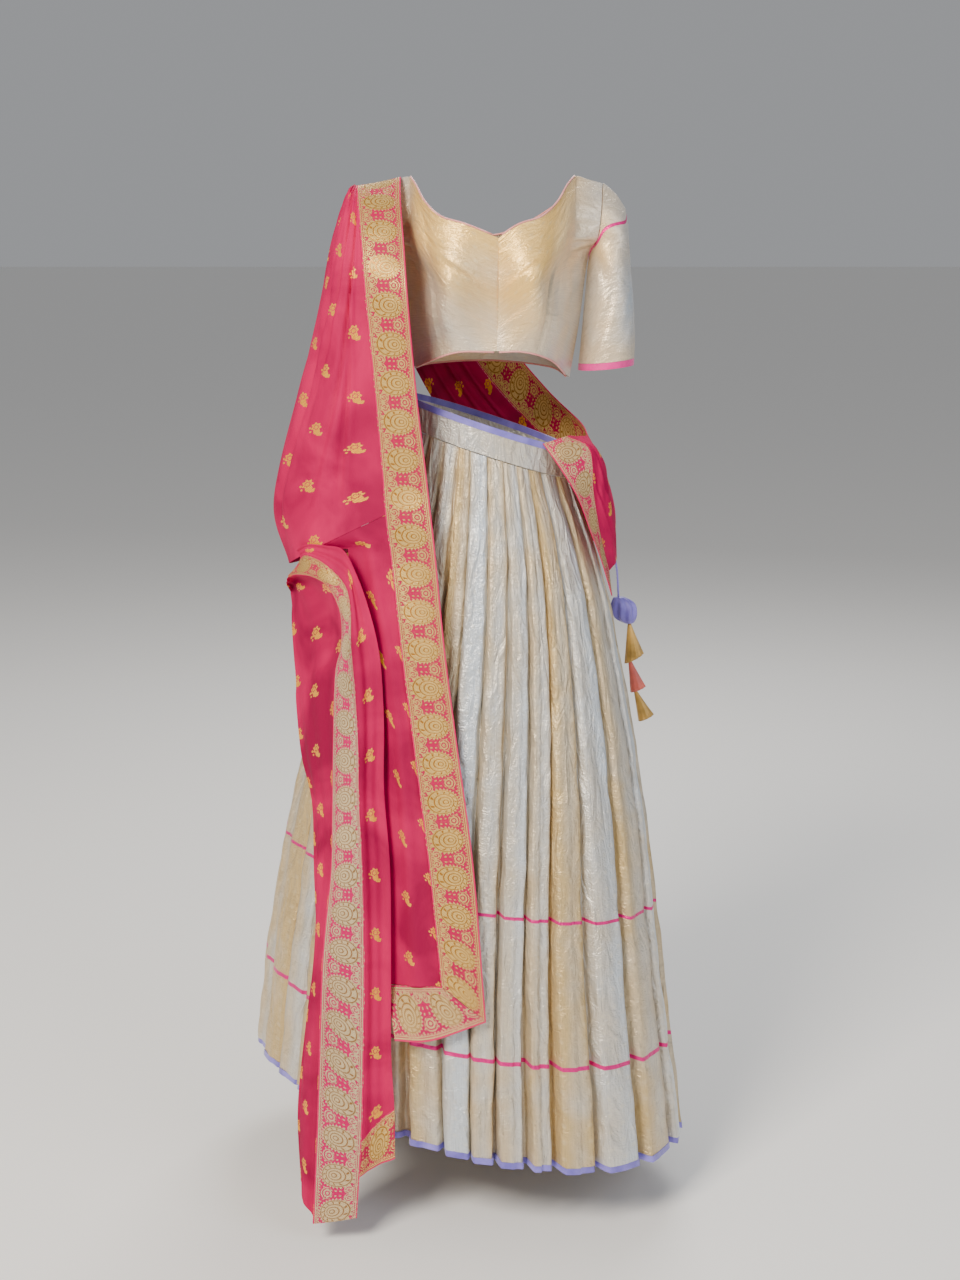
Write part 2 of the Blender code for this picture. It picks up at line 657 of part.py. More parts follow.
def folds(rows, columns, depth, waves, phase=0.0, start=0.15):
    # Soft folds deepening down the rows
    run = np.linspace(0.0, 1.0, rows)[:, None]
    share = np.linspace(0.0, 1.0, columns)[None, :]
    wave = np.sin(2 * math.pi * waves * share + phase)
    fade = np.sin(math.pi * share) ** 0.5
    return depth * (start + (1 - start) * run) * wave * fade


def build_stole():
    gap = SEAM_GAP / 2
    wall = GEORGETTE_WALL
    left = edge(FRONT_BORDER, 0, 27)
    right = edge(FRONT_BORDER, 3, 27)
    border = across(left, right, 4)
    shared = grid_normals(border, False)
    cut = 16
    sheet("stole_front_border", "zari_border", inset(border, gap, 0.0, 0.0, SEAM_GAP), wall)
    arm = through(np.array(ARM_DRAPE), cut + 1)
    front = left[: cut + 1]
    outer = arm[:, 3:6]
    back = arm[:, 6:9]
    bulge = front * 0.42 + outer * 0.58
    bulge[:, 1] = np.where(front[:, 1] < 0.0, front[:, 1] * 0.80, bulge[:, 1])
    # The lower rows lean on the roll that starts at the wrist
    lean = np.clip(np.linspace(-1.0, 1.0, cut + 1), 0.0, 1.0)[:, None] ** 2
    bulge = bulge * (1 - lean) + (bulge + np.array(WRIST_LEAN)) * lean
    lines = np.stack((back, outer, bulge, front), 1)
    drape = np.stack([through(line, 9) for line in lines], 0)
    drape[:, -1] = front
    normal = joined(drape, None, shared[: cut + 1, 0])
    sheet("stole_arm_drape", "pink_georgette", inset(drape, gap, gap), wall, False, normal)
    tail_left = through(TAIL_LEFT, 27 - cut)
    tail = across(tail_left, left[cut:], 5, folds(27 - cut, 5, 0.005, 1.0, 1.2))
    tail[:, -1] = left[cut:]
    normal = joined(tail, None, shared[cut:, 0])
    cloth = inset(tail, 0.0, gap, SEAM_GAP * 2)
    sheet("stole_front_tail", "pink_georgette", cloth, wall, False, normal)
    # End border below the tail, from its left corner to the mitre
    low_left = np.array((-0.1322, -0.272, -0.8611))
    low_mid = np.array((-0.0800, -0.284, -0.8560))
    top_line = through((tail[-1, 0], (tail[-1, 0] + left[-1]) / 2, left[-1]), 7)
    low_line = through((low_left, low_mid, right[-1]), 7)
    drop = np.array((0.0, 0.0, -2 * SEAM_GAP))
    end = across(top_line + drop, low_line + drop, 4).transpose(1, 0, 2)
    sheet("stole_end_border", "zari_border", end, wall)
    build_fall()
    build_behind(drape, grid_normals(drape, False))


def hollowed(grid):
    # The cloth under the wrist sinks back where the hand comes out
    rows, columns = grid.shape[:2]
    run = np.linspace(0.0, 1.0, rows)[:, None]
    share = np.linspace(0.0, 1.0, columns)[None, :]
    depth = HAND_HOLLOW * np.clip(1.0 - run / HAND_RUN, 0.0, 1.0) ** 0.6 * np.sin(math.pi * (1.0 - share) / 1.5) ** 0.6
    depth = depth * np.clip(run / 0.06, 0.0, 1.0)
    sunk = grid.copy()
    sunk[:, :, 1] += depth
    return sunk


def build_fall():
    gap = SEAM_GAP / 2
    wall = GEORGETTE_WALL
    outer = edge(FALL_ROWS, 0, 27)
    left = edge(FALL_ROWS, 3, 27)
    right = edge(FALL_ROWS, 6, 27)
    roll = edge(FALL_ROWS, 9, 27)
    border = across(left, right, 4)
    shared = grid_normals(border, False)
    sheet("stole_wrist_border", "zari_border", inset(border, gap, gap), wall)
    cloth = hollowed(across(outer, left, 5, folds(27, 5, 0.006, 1.0, 2.0)))
    cloth[:, -1] = left
    normal = joined(cloth, None, shared[:, 0])
    sheet("stole_outer_fall", "pink_georgette", inset(cloth, 0.0, gap + SEAM_GAP), wall, False, normal)
    # The roll ends above the border's own end
    held = right.copy()
    for row, share in zip((24, 25, 26), ROLL_END):
        step = min(int(share * 2), 1)
        held[row] = right[24 + step] + (right[25 + step] - right[24 + step]) * (share * 2 - step)
    middle = across(held, roll, 6, folds(27, 6, 0.007, 0.5, 0.0, 0.5))
    middle[:, 0] = held
    normal = joined(middle, shared[:, -1], None)
    cloth = inset(middle[:25], gap, 0.0, 0.0, gap)
    sheet("stole_roll", "pink_georgette", cloth, wall, False, normal[:25])
    cloth = inset(middle[24:], gap, 0.0, gap)
    sheet("stole_roll_end", "zari_border", cloth, wall, False, normal[24:])


def build_behind(drape, drape_normal):
    gap = SEAM_GAP / 2
    wall = GEORGETTE_WALL
    # The layer behind the arm carries on from the drape's back edge
    start = 6
    held = drape[start:, 0]
    count = len(held)
    loose = through(np.vstack((held[-2], held[-1], np.array(BACK_FALL_LOW))), 13)[4:]
    left = np.vstack((held, loose))
    right = through(BACK_FALL_EDGE, len(left))
    hang = across(left, right, 6, folds(len(left), 6, 0.006, 1.0))
    hang[:, 0] = left
    normal = grid_normals(hang, False)
    held_normal = drape_normal[start:, 0]
    facing = np.sign(np.sum(held_normal * normal[:count, 1], axis=1))[:, None]
    keep = np.clip((count - np.arange(count)) / 3.0, 0.0, 1.0)[:, None]
    blend = held_normal * facing * keep + normal[:count, 0] * (1 - keep)
    normal[:count, 0] = blend / np.linalg.norm(blend, axis=1, keepdims=True)
    sheet("stole_back_fall", "pink_georgette", inset(hang, gap), wall, False, normal)
    side = edge(HIP_ROWS, 0, 12)
    right = edge(HIP_ROWS, 3, 12)
    left = edge(HIP_ROWS, 6, 12)
    border = across(right, left, 4)
    shared = grid_normals(border, False)
    sheet("stole_hip_border", "zari_border", inset(border, 0.0005), wall)
    middle = (side + right) / 2
    middle[:, 0] += 0.006
    middle[:, 1] -= 0.010
    lines = np.stack([through(line, 6) for line in np.stack((side, middle, right), 1)], 0)
    lines[:, -1] = right
    normal = joined(lines, None, shared[:, 0])
    cloth = inset(lines, gap, 0.0005)
    sheet("stole_hip_cloth", "pink_georgette", cloth, wall, False, normal)
    upper = edge(BACK_STRETCH, 0)
    lower = edge(BACK_STRETCH, 3)
    wide = across(upper, lower, 9)
    target = through(side, 9) + np.array((0.0, SEAM_GAP, 0.0))
    for k in range(5):
        weight = 1.0 - k / 5
        wide[-1 - k] += (target - wide[-1]) * weight if k else 0.0
    wide[-1] = target
    shape = folds(ROW_STEPS, 9, 0.004, 1.0)[:, :, None] * grid_normals(wide, False)
    wide[2:-2, 4:-1] += shape[2:-2, 4:-1]
    normal = grid_normals(wide, False)
    cloth = inset(wide[:, :4], 0.0, gap, 0.0, gap)
    sheet("stole_back_border", "zari_border", cloth, wall, False, normal[:, :4])
    cloth = inset(wide[:, 3:], gap, 0.0, 0.0, gap)
    sheet("stole_back_stretch", "pink_georgette", cloth, wall, False, normal[:, 3:])


# Tie with three cloth cones
TIE_CORD = (
    (0.1908, 0.0200, -0.1800),
    (0.1945, 0.0270, -0.2080),
    (0.1990, 0.0340, -0.2350),
    (0.2015, 0.0360, -0.2718),
)
CONES = (
    # name, material, apex x, z, mouth left x, z, mouth right x, z
    ("latkan_upper", "gold_silk", 0.2188, -0.3134, 0.2128, -0.3757, 0.2417, -0.3599),
    ("latkan_middle", "salmon_silk", 0.2200, -0.3700, 0.2227, -0.4215, 0.2457, -0.4120),
    ("latkan_lower", "gold_silk", 0.2290, -0.4170, 0.2359, -0.4677, 0.2589, -0.4566),
)
TIE_Y = 0.036


def spun(name, material, rings, sides=12):
    # Closed body through rings: centre, radius along x and y, tilt of the ring
    vertices = []
    for (x, y, z), reach, deep, slope in rings:
        for k in range(sides):
            turn = 2 * math.pi * k / sides
            vertices.append((
                x + reach * math.cos(turn),
                y + deep * math.sin(turn),
                z + slope * reach * math.cos(turn),
            ))
    faces = []
    count = len(rings)
    for i in range(count - 1):
        for k in range(sides):
            a = i * sides + k
            b = i * sides + (k + 1) % sides
            c = (i + 1) * sides + (k + 1) % sides
            d = (i + 1) * sides + k
            faces.append((a, b, c))
            faces.append((a, c, d))
    for k in range(1, sides - 1):
        faces.append((0, k + 1, k))
        base = (count - 1) * sides
        faces.append((base, base + k, base + k + 1))
    thing = new_object(name, vertices, faces, material)
    if signed_volume(thing) < 0:
        thing.data.flip_normals()
    return thing


def build_tie():
    tube("tie_cord", "tie_cord", through(TIE_CORD, 9), 0.0016)
    puff = (
        ((0.2015, TIE_Y, -0.2722), 0.0050, 0.0045, 0.0),
        ((0.2050, TIE_Y, -0.2800), 0.0120, 0.0100, 0.1),
        ((0.2100, TIE_Y, -0.2920), 0.0175, 0.0130, 0.2),
        ((0.2150, TIE_Y, -0.3040), 0.0160, 0.0120, 0.3),
        ((0.2187, TIE_Y, -0.3127), 0.0030, 0.0030, 0.0),
    )
    spun("tie_puff", "lavender_satin", puff)
    stem = None
    for name, material, top_x, top_z, left_x, left_z, right_x, right_z in CONES:
        middle = ((left_x + right_x) / 2, (left_z + right_z) / 2)
        half = (right_x - left_x) / 2
        slope = (right_z - left_z) / (right_x - left_x)
        rings = []
        if name != "latkan_upper":
            # A short stem runs up into the cone above
            rings.append(((stem[0], TIE_Y, stem[1]), 0.0012, 0.0012, 0.0))
        # Outside from the apex to the mouth, then back up inside the hollow cone
        for share, shrink in ((0.0, 0.16), (0.35, 0.42), (0.75, 0.80), (1.0, 1.0), (0.985, 0.90), (0.60, 0.54), (0.25, 0.18)):
            x = top_x + (middle[0] - top_x) * share
            z = top_z + (middle[1] - top_z) * share
            rings.append(((x, TIE_Y, z), half * shrink, half * shrink * 0.9, slope * share))
        spun(name, material, rings)
        stem = (
            top_x + (middle[0] - top_x) * 0.25,
            top_z + (middle[1] - top_z) * 0.25 - 0.0008,
        )


build_skirt()
build_band()
build_blouse()
build_stole()
build_tie()
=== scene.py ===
# Looks of a half sari worn hollow: silk blouse and pleated skirt, draped pink stole, side tie.
# Metres, +Z up, wearer faces -Y; each cloth lies on the form of the CAD solid that it replaces.

import math

import bmesh
import bpy
import numpy as np
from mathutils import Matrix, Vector


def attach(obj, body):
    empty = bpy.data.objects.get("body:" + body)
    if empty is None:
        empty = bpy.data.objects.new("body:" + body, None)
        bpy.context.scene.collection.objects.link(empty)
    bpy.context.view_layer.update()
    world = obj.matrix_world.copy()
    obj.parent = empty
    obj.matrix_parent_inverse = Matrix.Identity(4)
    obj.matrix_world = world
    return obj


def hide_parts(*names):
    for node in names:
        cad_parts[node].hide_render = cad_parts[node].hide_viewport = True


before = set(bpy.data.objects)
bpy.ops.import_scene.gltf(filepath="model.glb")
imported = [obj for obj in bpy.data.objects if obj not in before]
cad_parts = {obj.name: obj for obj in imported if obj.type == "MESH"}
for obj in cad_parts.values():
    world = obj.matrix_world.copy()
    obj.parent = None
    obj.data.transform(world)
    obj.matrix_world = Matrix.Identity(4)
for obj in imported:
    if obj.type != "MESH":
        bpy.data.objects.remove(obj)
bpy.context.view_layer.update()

# Camera of the photograph
PHOTO_HEIGHT = 1280
FOCAL_PIXELS = 1924.0
SENSOR_HEIGHT = 36.0
CAMERA_PLACE = (-0.010, -2.850, 0.290)
CAMERA_PITCH = math.radians(12.3)
FLOOR_Z = -1.160

# Studio lights: name, place, size, watts, colour
LIGHTS = (
    ("key", (-1.9, -3.0, 2.3), 1.5, 262.0, "#FFF6EA"),
    ("fill", (2.4, -2.5, 1.3), 2.2, 46.0, "#EAF1FF"),
    ("back", (0.6, 2.6, 2.2), 1.6, 80.0, "#FFFFFF"),
)
FLOOR_COLOUR = "#F4F2EE"
FLOOR_ROUGHNESS = 0.85
AIM = (0.0, 0.0, -0.35)
WORLD_COLOUR = "#E4E6EA"
WORLD_STRENGTH = 0.42

# Cloth walls and trims
SILK_WALL = 0.0016
GEORGETTE_WALL = 0.0011
BORDER_WALL = 0.0013
BAND_WALL = 0.0022
PIPING_RADIUS = 0.0013
SEAM_GAP = 0.0003
HALF_GAP = SEAM_GAP / 2
TRIM_EXTRA = 0.0004
CENTRE_GAP = 0.00008
HIP_GAP = 0.0005
BAND_EDGE_DEPTH = 0.0095
BAND_TILT = -0.33
BAND_FRONT_Z = 0.003
WAIST_HALF_WIDTH = 0.124
WAIST_HALF_DEPTH = 0.092
HEM_EDGE_DEPTH = 0.0090
SLEEVE_BAND_DEPTH = 0.0100

# Colours as seen on the cloth, sRGB
GOLD_SILK = "#CFB27C"
# Gold of the blouse's taut silk, brighter than the skirt's as a painted highlight
GOLD_SILK_PAINTED_HIGHLIGHT = "#FFD078"
SILVER_SILK = "#D2D9DE"
JACQUARD_LIGHT = "#F4E6C2"
STRIPE_PINK = "#E00080"
# Lit and shaded pink of the georgette, mixed per piece as painted light and painted shade
GEORGETTE_LIT = "#E60060"
GEORGETTE_SHADED = "#90003C"
# Lit and shaded gold of the flowers, mixed by the stitches as painted sheen
BUTI_LIT_GOLD = "#FFC04A"
BUTI_SHADED_GOLD = "#D07818"
BORDER_PINK = "#B80048"
BORDER_EDGE = "#D8005C"
# Lit and shaded gold of the zari, mixed by the stitches as painted sheen; the shaded gold also draws dark lines in
# the motifs
ZARI_LIT = "#FFE08C"
ZARI_SHADE_AND_LINES = "#9C6218"
LAVENDER_SATIN = "#8C80D8"
LAVENDER_DEEP = "#665AB4"
PINK_SATIN = "#FF2C9C"
PINK_DEEP = "#D81480"
PALE_PIPING = "#F3A6A0"
PALE_PIPING_DEEP = "#D98480"
GOLD_CONE = "#F0BE62"
SALMON_CONE = "#F0705E"

# Patterns, metres on the cloth
STRIPE_UPPER = 0.678
STRIPE_LOWER = 0.885
STRIPE_HALF = 0.0024
BORDER_WIDTH = 0.062
ZARI_REPEAT = 0.0545
FLOWER_U = 0.0255
FLOWER_REACH = 0.0240
# Pale thread's lit and shaded gold, mixed by the stitches as painted sheen, and its pink ground
PALE_ZARI_LIT = "#FFF0CC"
PALE_ZARI_SHADE_AND_LINES = "#85603C"
PALE_BORDER_PINK = "#C80060"
MEDALLION_RINGS = (0.82, 0.54, 0.34, 0.14)
SCROLL_U = 0.0490
SCROLL_V = 0.0203
SPRIG_U = 0.0180
SPRIG_REACH = 0.0085
SCROLL_REACH = 0.0072
EDGE_CORDS = ((0.0030, 0.0009), (0.0056, 0.0007), (0.0564, 0.0007), (0.0590, 0.0009))
PICOT = 0.0042
PICOT_LINES = (0.0076, 0.0544)
BUTI_WIDE = 0.088
BUTI_TALL = 0.043
# Circles of the motif's curled tail: x, y, radius
BUTI_BODY = (
    (0.0016, 0.0034, 0.0044),
    (0.0044, 0.0068, 0.0030),
    (0.0070, 0.0080, 0.0020),
    (0.0082, 0.0062, 0.0014),
    (-0.0088, -0.0018, 0.0017),
    (-0.0072, 0.0036, 0.0015),
)
BUTI_HEAD = (0.0, -0.0034, 0.0074)
GEORGETTE_COVER = 0.95
JACQUARD_WIDE = 0.030
JACQUARD_TALL = 0.012
JACQUARD_BUD = 0.0030

# Skirt heights, metres
SKIRT_TOP_Z = -0.0423
SKIRT_EASE_Z = -0.12
HEM_Z = -1.035
HEM_FOLD_Z = -1.0305
# Where its two panels meet, degrees from the front
SKIRT_SEAMS = (90.0, 270.0)
# Where the back's pleats start and end at the waist and at the hem, degrees
BACK_EDGES = ((70.0, 72.7), (360.0 - 42.9, 360.0 - 40.0))
# Crushed silk: waves round, waves down, phase, depth
SKIRT_CRUMPLE = (
    (9.0, 11.0, 0.4, 0.0024),
    (31.0, 26.0, 2.1, 0.0015),
    (17.0, 63.0, 3.3, 0.0011),
)
# Cut sizes, metres
SLEEVE_HEMS = {
    1: ((0.176, 0.006, 0.089), (0.040, 0.047), 0.10),
    -1: ((-0.203, 0.004, 0.100), (0.038, 0.042), -0.16),
}
# Roundness of the sleeve cap down the sleeve, and how much of it each arm shows
CAP_RUN = (0.0, 0.08, 0.18, 0.27, 0.50, 0.78, 1.0)
CAP_OUT = (0.0, 0.015, 0.025, 0.024, 0.013, 0.005, 0.0)
CAP_SHARE = {1: 1.0, -1: 0.2}
# Points of the blouse's grids
BLOUSE_GRID = (61, 41)
BACK_COLUMNS = 71
SLEEVE_ROWS = 34
PUFF_PLACES = (
    (0.2015, 0.036, -0.2722),
    (0.2080, 0.036, -0.2850),
    (0.2135, 0.036, -0.3000),
    (0.2187, 0.036, -0.3127),
)
DRAPE_CREASES = (
    (0.96, 0.06, 0.42, 0.62, 0.020, 0.0067),
    (0.98, 0.16, 0.55, 0.78, 0.018, 0.0060),
    (0.70, 0.04, 0.36, 0.40, 0.020, 0.0053),
    (0.99, 0.34, 0.66, 0.90, 0.018, 0.0060),
    (0.60, 0.50, 0.40, 0.98, 0.022, 0.0053),
    (0.30, 0.10, 0.20, 0.60, 0.020, 0.0053),
    (0.14, 0.30, 0.10, 0.90, 0.020, 0.0045),
    (0.84, 0.55, 0.80, 0.98, 0.018, 0.0045),
)
HIP_CREASES = (
    (0.90, 0.05, 0.30, 0.55, 0.030, 0.0030),
    (0.96, 0.25, 0.40, 0.90, 0.028, 0.0030),
    (0.60, 0.04, 0.12, 0.30, 0.030, 0.0025),
)
BACK_FOLDS = (
    (0.15, 0.02, 0.30, 0.98, 0.022, 0.0040),
    (0.40, 0.03, 0.52, 0.97, 0.022, 0.0045),
    (0.66, 0.05, 0.74, 0.95, 0.020, 0.0040),
    (0.88, 0.08, 0.92, 0.90, 0.018, 0.0030),
)

# Skirt levels, metres: height at the middle, side and front reach, pleat depth
SKIRT_LEVELS = (
    # z, left x, right x, front y, back y, shear, tilt, pleat
    (-0.0423, -0.124, 0.124, -0.093, 0.091, 0.00, -0.330, 0.0022),
    (-0.120, -0.150, 0.152, -0.114, 0.114, 0.04, -0.270, 0.0060),
    (-0.200, -0.177, 0.177, -0.135, 0.134, 0.08, -0.220, 0.0090),
    (-0.310, -0.209, 0.200, -0.162, 0.152, 0.13, -0.180, 0.0120),
    (-0.450, -0.255, 0.226, -0.194, 0.174, 0.18, -0.150, 0.0150),
    (-0.600, -0.297, 0.247, -0.224, 0.195, 0.22, -0.130, 0.0180),
    (-0.750, -0.329, 0.264, -0.251, 0.212, 0.25, -0.120, 0.0200),
    (-0.900, -0.354, 0.283, -0.276, 0.228, 0.27, -0.110, 0.0220),
    (-1.035, -0.372, 0.300, -0.296, 0.240, 0.29, -0.110, 0.0240),
)

# Pleat edges as degrees from the front, at the waist and at the hem
PLEAT_EDGES = (
    (-42.9, -40.0),
    (-29.8, -27.0),
    (-19.6, -15.0),
    (-10.7, -5.2),
    (0.0, 2.3),
    (10.7, 8.9),
    (20.3, 17.1),
    (29.8, 24.0),
    (40.2, 36.9),
    (55.3, 54.0),
    (70.0, 72.7),
)
BACK_PLEATS = 24

# Stole edges, each row one height: x, y, z of the left edge then of the right edge
FRONT_BORDER = (
    (-0.1880, 0.062, 0.3140, -0.1240, 0.062, 0.3240),
    (-0.1890, 0.026, 0.3346, -0.1240, 0.026, 0.3456),
    (-0.1874, -0.012, 0.3366, -0.1239, -0.012, 0.3484),
    (-0.1832, -0.060, 0.3120, -0.1217, -0.064, 0.3114),
    (-0.1771, -0.100, 0.2632, -0.1164, -0.108, 0.2633),
    (-0.1698, -0.122, 0.1770, -0.1091, -0.150, 0.1775),
    (-0.1588, -0.122, 0.0539, -0.0990, -0.140, 0.0547),
    (-0.1496, -0.124, -0.0573, -0.0867, -0.134, -0.0561),
    (-0.1450, -0.132, -0.1200, -0.0795, -0.142, -0.1190),
    (-0.1372, -0.142, -0.1839, -0.0725, -0.155, -0.1813),
    (-0.1228, -0.170, -0.3089, -0.0598, -0.182, -0.3067),
    (-0.1057, -0.197, -0.4395, -0.0427, -0.207, -0.4368),
    (-0.0828, -0.237, -0.6134, -0.0190, -0.245, -0.6100),
    (-0.0657, -0.272, -0.7784, -0.0014, -0.285, -0.8269),
)

# Left edge of the tail that hangs beside the front border
# Points of the stole's grids: rows down the front and the fall, and columns of each stretch
STOLE_ROWS = 209
WRIST_ROW = 128
ROLL_END_ROW = 192
BORDER_COLUMNS = 17
DRAPE_COLUMNS = 65
TAIL_COLUMNS = 25
FALL_COLUMNS = 29
BACK_FALL_COLUMNS = 41
HIP_ROW_COUNT = 56
HIP_COLUMNS = 33
BACK_ROW_COUNT = 106
BACK_BORDER_COLUMN = 24

SHOULDER = "blouse_front_right_cloth"
ARM = "stole_arm_drape_cloth"
# Border pieces: CAD node, cut width, cut length, how held, what it lies on,
# pattern turned about, share of pale thread
STOLE_BORDERS = {
    "stole_front_zari": ("stole_front_border", 0.062, 1.23, "hung", SHOULDER, True, 0.0),
    "stole_end_zari": ("stole_end_border", 0.070, 0.11, "hung", "stole_front_zari", False, 0.35),
    "stole_wrist_zari": ("stole_wrist_border", 0.048, 1.02, "draped", ARM, False, 0.0),
    "stole_roll_end_zari": ("stole_roll_end", 0.070, 0.055, "hung", "stole_roll_cloth", True, 0.0),
    "stole_hip_zari": ("stole_hip_border", 0.040, 0.22, "draped", "skirt_front_cloth", True, 0.5),
    "stole_back_zari": ("stole_back_border", 0.062, 0.62, "draped", "blouse_back_cloth", False, 0.0),
}
# Plain pieces: CAD node, cut width, cut length, how held, what it lies on,
# shift of the motifs across and down, share of painted light on the pink, low on pieces in shade
STOLE_CLOTHS = {
    "stole_arm_drape_cloth": ("stole_arm_drape", 0.26, 0.55, "draped", SHOULDER, 0.012, 0.010, 0.40),
    "stole_front_tail_cloth": ("stole_front_tail", 0.05, 0.68, "hung", SHOULDER, 0.004, 0.030, 0.30),
    "stole_outer_fall_cloth": ("stole_outer_fall", 0.06, 0.92, "hung", ARM, 0.0, 0.02, 0.26),
    "stole_roll_cloth": ("stole_roll", 0.05, 0.88, "draped", ARM, 0.002, 0.035, 0.36),
    "stole_back_fall_cloth": ("stole_back_fall", 0.14, 0.80, "hung", SHOULDER, 0.01, 0.0, 0.20),
    "stole_hip_drape_cloth": ("stole_hip_cloth", 0.09, 0.21, "draped", "skirt_front_cloth", 0.0, 0.03, 0.50),
    "stole_back_cloth": ("stole_back_stretch", 0.13, 0.60, "draped", "blouse_back_cloth", 0.0, 0.0, 0.30),
}
# Large folds of each stretch: depth, waves across, phase, depth share at the top
FOLDS = {
    "tail": (0.005, 1.0, 1.2, 0.15),
    "outer fall": (0.006, 1.0, 2.0, 0.15),
    "roll": (0.007, 0.5, 0.0, 0.5),
    "back fall": (0.006, 1.0, 0.0, 0.15),
    "back": (0.004, 1.0, 0.0, 0.15),
}
# Fine ripples of each stretch: depth, phase, waves across
RIPPLES = {
    "arm drape": (0.0011, 0.7, 6.0),
    "tail": (0.0012, 2.2, 2.4),
    "outer fall": (0.0014, 1.1, 2.6),
    "roll": (0.0013, 3.1, 2.2),
    "back fall": (0.0022, 0.3, 4.0),
    "hip": (0.0010, 1.9, 3.0),
    "back": (0.0014, 2.7, 4.0),
}
# Lower edge of the mitred end: its left corner and its middle
END_CORNER = (-0.1322, -0.272, -0.8611)
END_MIDDLE = (-0.0800, -0.284, -0.8560)

# How much of the border's last stretch the roll's last stretch comes down
ROLL_END_SHARE = 0.47

TAIL_LEFT = (
    (-0.1980, -0.1297, -0.1524),
    (-0.1990, -0.1285, -0.1760),
    (-0.1950, -0.130, -0.2080),
    (-0.1760, -0.148, -0.3130),
    (-0.1560, -0.174, -0.4437),
    (-0.1460, -0.212, -0.6201),
    (-0.1434, -0.240, -0.7886),
)

# Drape over the arm at each of its rows: front, outermost and back points
ARM_DRAPE = (
    # front x, y, z, outer x, y, z, back x, y, z
    (-0.1880, 0.062, 0.3140, -0.1935, 0.070, 0.3100, -0.2000, 0.080, 0.3030),
    (-0.1890, 0.026, 0.3380, -0.1955, 0.036, 0.3330, -0.2030, 0.050, 0.3240),
    (-0.1874, -0.012, 0.3400, -0.1975, 0.000, 0.3330, -0.2100, 0.044, 0.3100),
    (-0.1832, -0.060, 0.3120, -0.2090, 0.000, 0.3060, -0.2150, 0.056, 0.2850),
    (-0.1771, -0.100, 0.2632, -0.2260, 0.000, 0.2510, -0.2200, 0.062, 0.2400),
    (-0.1698, -0.122, 0.1770, -0.2500, 0.000, 0.1420, -0.2380, 0.064, 0.1400),
    (-0.1588, -0.122, 0.0539, -0.2780, 0.000, 0.0400, -0.2600, 0.062, 0.0300),
    (-0.1496, -0.124, -0.0573, -0.3170, -0.004, -0.1160, -0.2920, 0.050, -0.1220),
    (-0.1450, -0.132, -0.1200, -0.2920, -0.034, -0.2060, -0.2820, 0.012, -0.2120),
)

# Falling side: outer cloth's edge, border's left and right edges, roll's right edge
FALL_ROWS = (
    # outer x, y, z, border left x, y, z, border right x, y, z, roll x, y, z
    (-0.2960, -0.056, -0.2360, -0.2909, -0.078, -0.2181, -0.2700, -0.098, -0.1890, -0.2774, -0.090, -0.1779),
    (-0.2920, -0.066, -0.2560, -0.2693, -0.106, -0.2120, -0.2592, -0.118, -0.1806, -0.2600, -0.112, -0.1660),
    (-0.2890, -0.074, -0.2760, -0.2480, -0.128, -0.2120, -0.2317, -0.140, -0.1889, -0.2300, -0.134, -0.1640),
    (-0.2883, -0.082, -0.3064, -0.2264, -0.150, -0.2230, -0.2005, -0.158, -0.2188, -0.2048, -0.148, -0.1682),
    (-0.2850, -0.092, -0.3400, -0.2100, -0.164, -0.2560, -0.1930, -0.170, -0.2577, -0.1859, -0.160, -0.2000),
    (-0.2810, -0.100, -0.3750, -0.2080, -0.176, -0.3016, -0.1926, -0.180, -0.3016, -0.1673, -0.168, -0.2520),
    (-0.2793, -0.110, -0.4094, -0.2166, -0.184, -0.3400, -0.1884, -0.186, -0.3520, -0.1529, -0.174, -0.3183),
    (-0.2719, -0.124, -0.4784, -0.2200, -0.200, -0.4300, -0.1830, -0.202, -0.4350, -0.1474, -0.186, -0.4088),
    (-0.2543, -0.164, -0.5379, -0.2213, -0.218, -0.5245, -0.1814, -0.220, -0.5243, -0.1476, -0.202, -0.5075),
    (-0.2502, -0.200, -0.6255, -0.2230, -0.238, -0.6150, -0.1771, -0.240, -0.6134, -0.1390, -0.226, -0.6168),
    (-0.2480, -0.222, -0.7306, -0.2345, -0.262, -0.7300, -0.1745, -0.264, -0.7475, -0.1378, -0.250, -0.7515),
    (-0.2620, -0.244, -0.8447, -0.2392, -0.282, -0.8389, -0.1765, -0.284, -0.8859, -0.1380, -0.270, -0.8800),
    (-0.2748, -0.262, -0.9700, -0.2439, -0.302, -0.9754, -0.1797, -0.304, -1.0003, -0.1335, -0.284, -0.9603),
    (-0.2712, -0.278, -1.0779, -0.2516, -0.312, -1.1271, -0.1878, -0.312, -1.1176, -0.1330, -0.292, -1.0352),
)

# Hollow left for the hand below the wrist: depth, and share of the fall it runs down
HAND_HOLLOW = 0.045
HAND_RUN = 0.42

# How far the drape's lower rows move onto the roll at the wrist
WRIST_LEAN = (-0.0100, -0.0180, 0.0030)

# Layer that hangs behind the arm: its loose left corner points and its right edge
BACK_FALL_LOW = (
    (-0.3000, 0.056, -0.3000),
    (-0.2950, 0.060, -0.4000),
    (-0.2880, 0.066, -0.4850),
)
BACK_FALL_EDGE = (
    (-0.1900, 0.086, 0.2900),
    (-0.1850, 0.112, 0.2000),
    (-0.1800, 0.136, 0.1000),
    (-0.1850, 0.150, -0.0200),
    (-0.1950, 0.158, -0.1500),
    (-0.2100, 0.164, -0.2800),
    (-0.2250, 0.170, -0.4000),
    (-0.2400, 0.176, -0.5000),
)

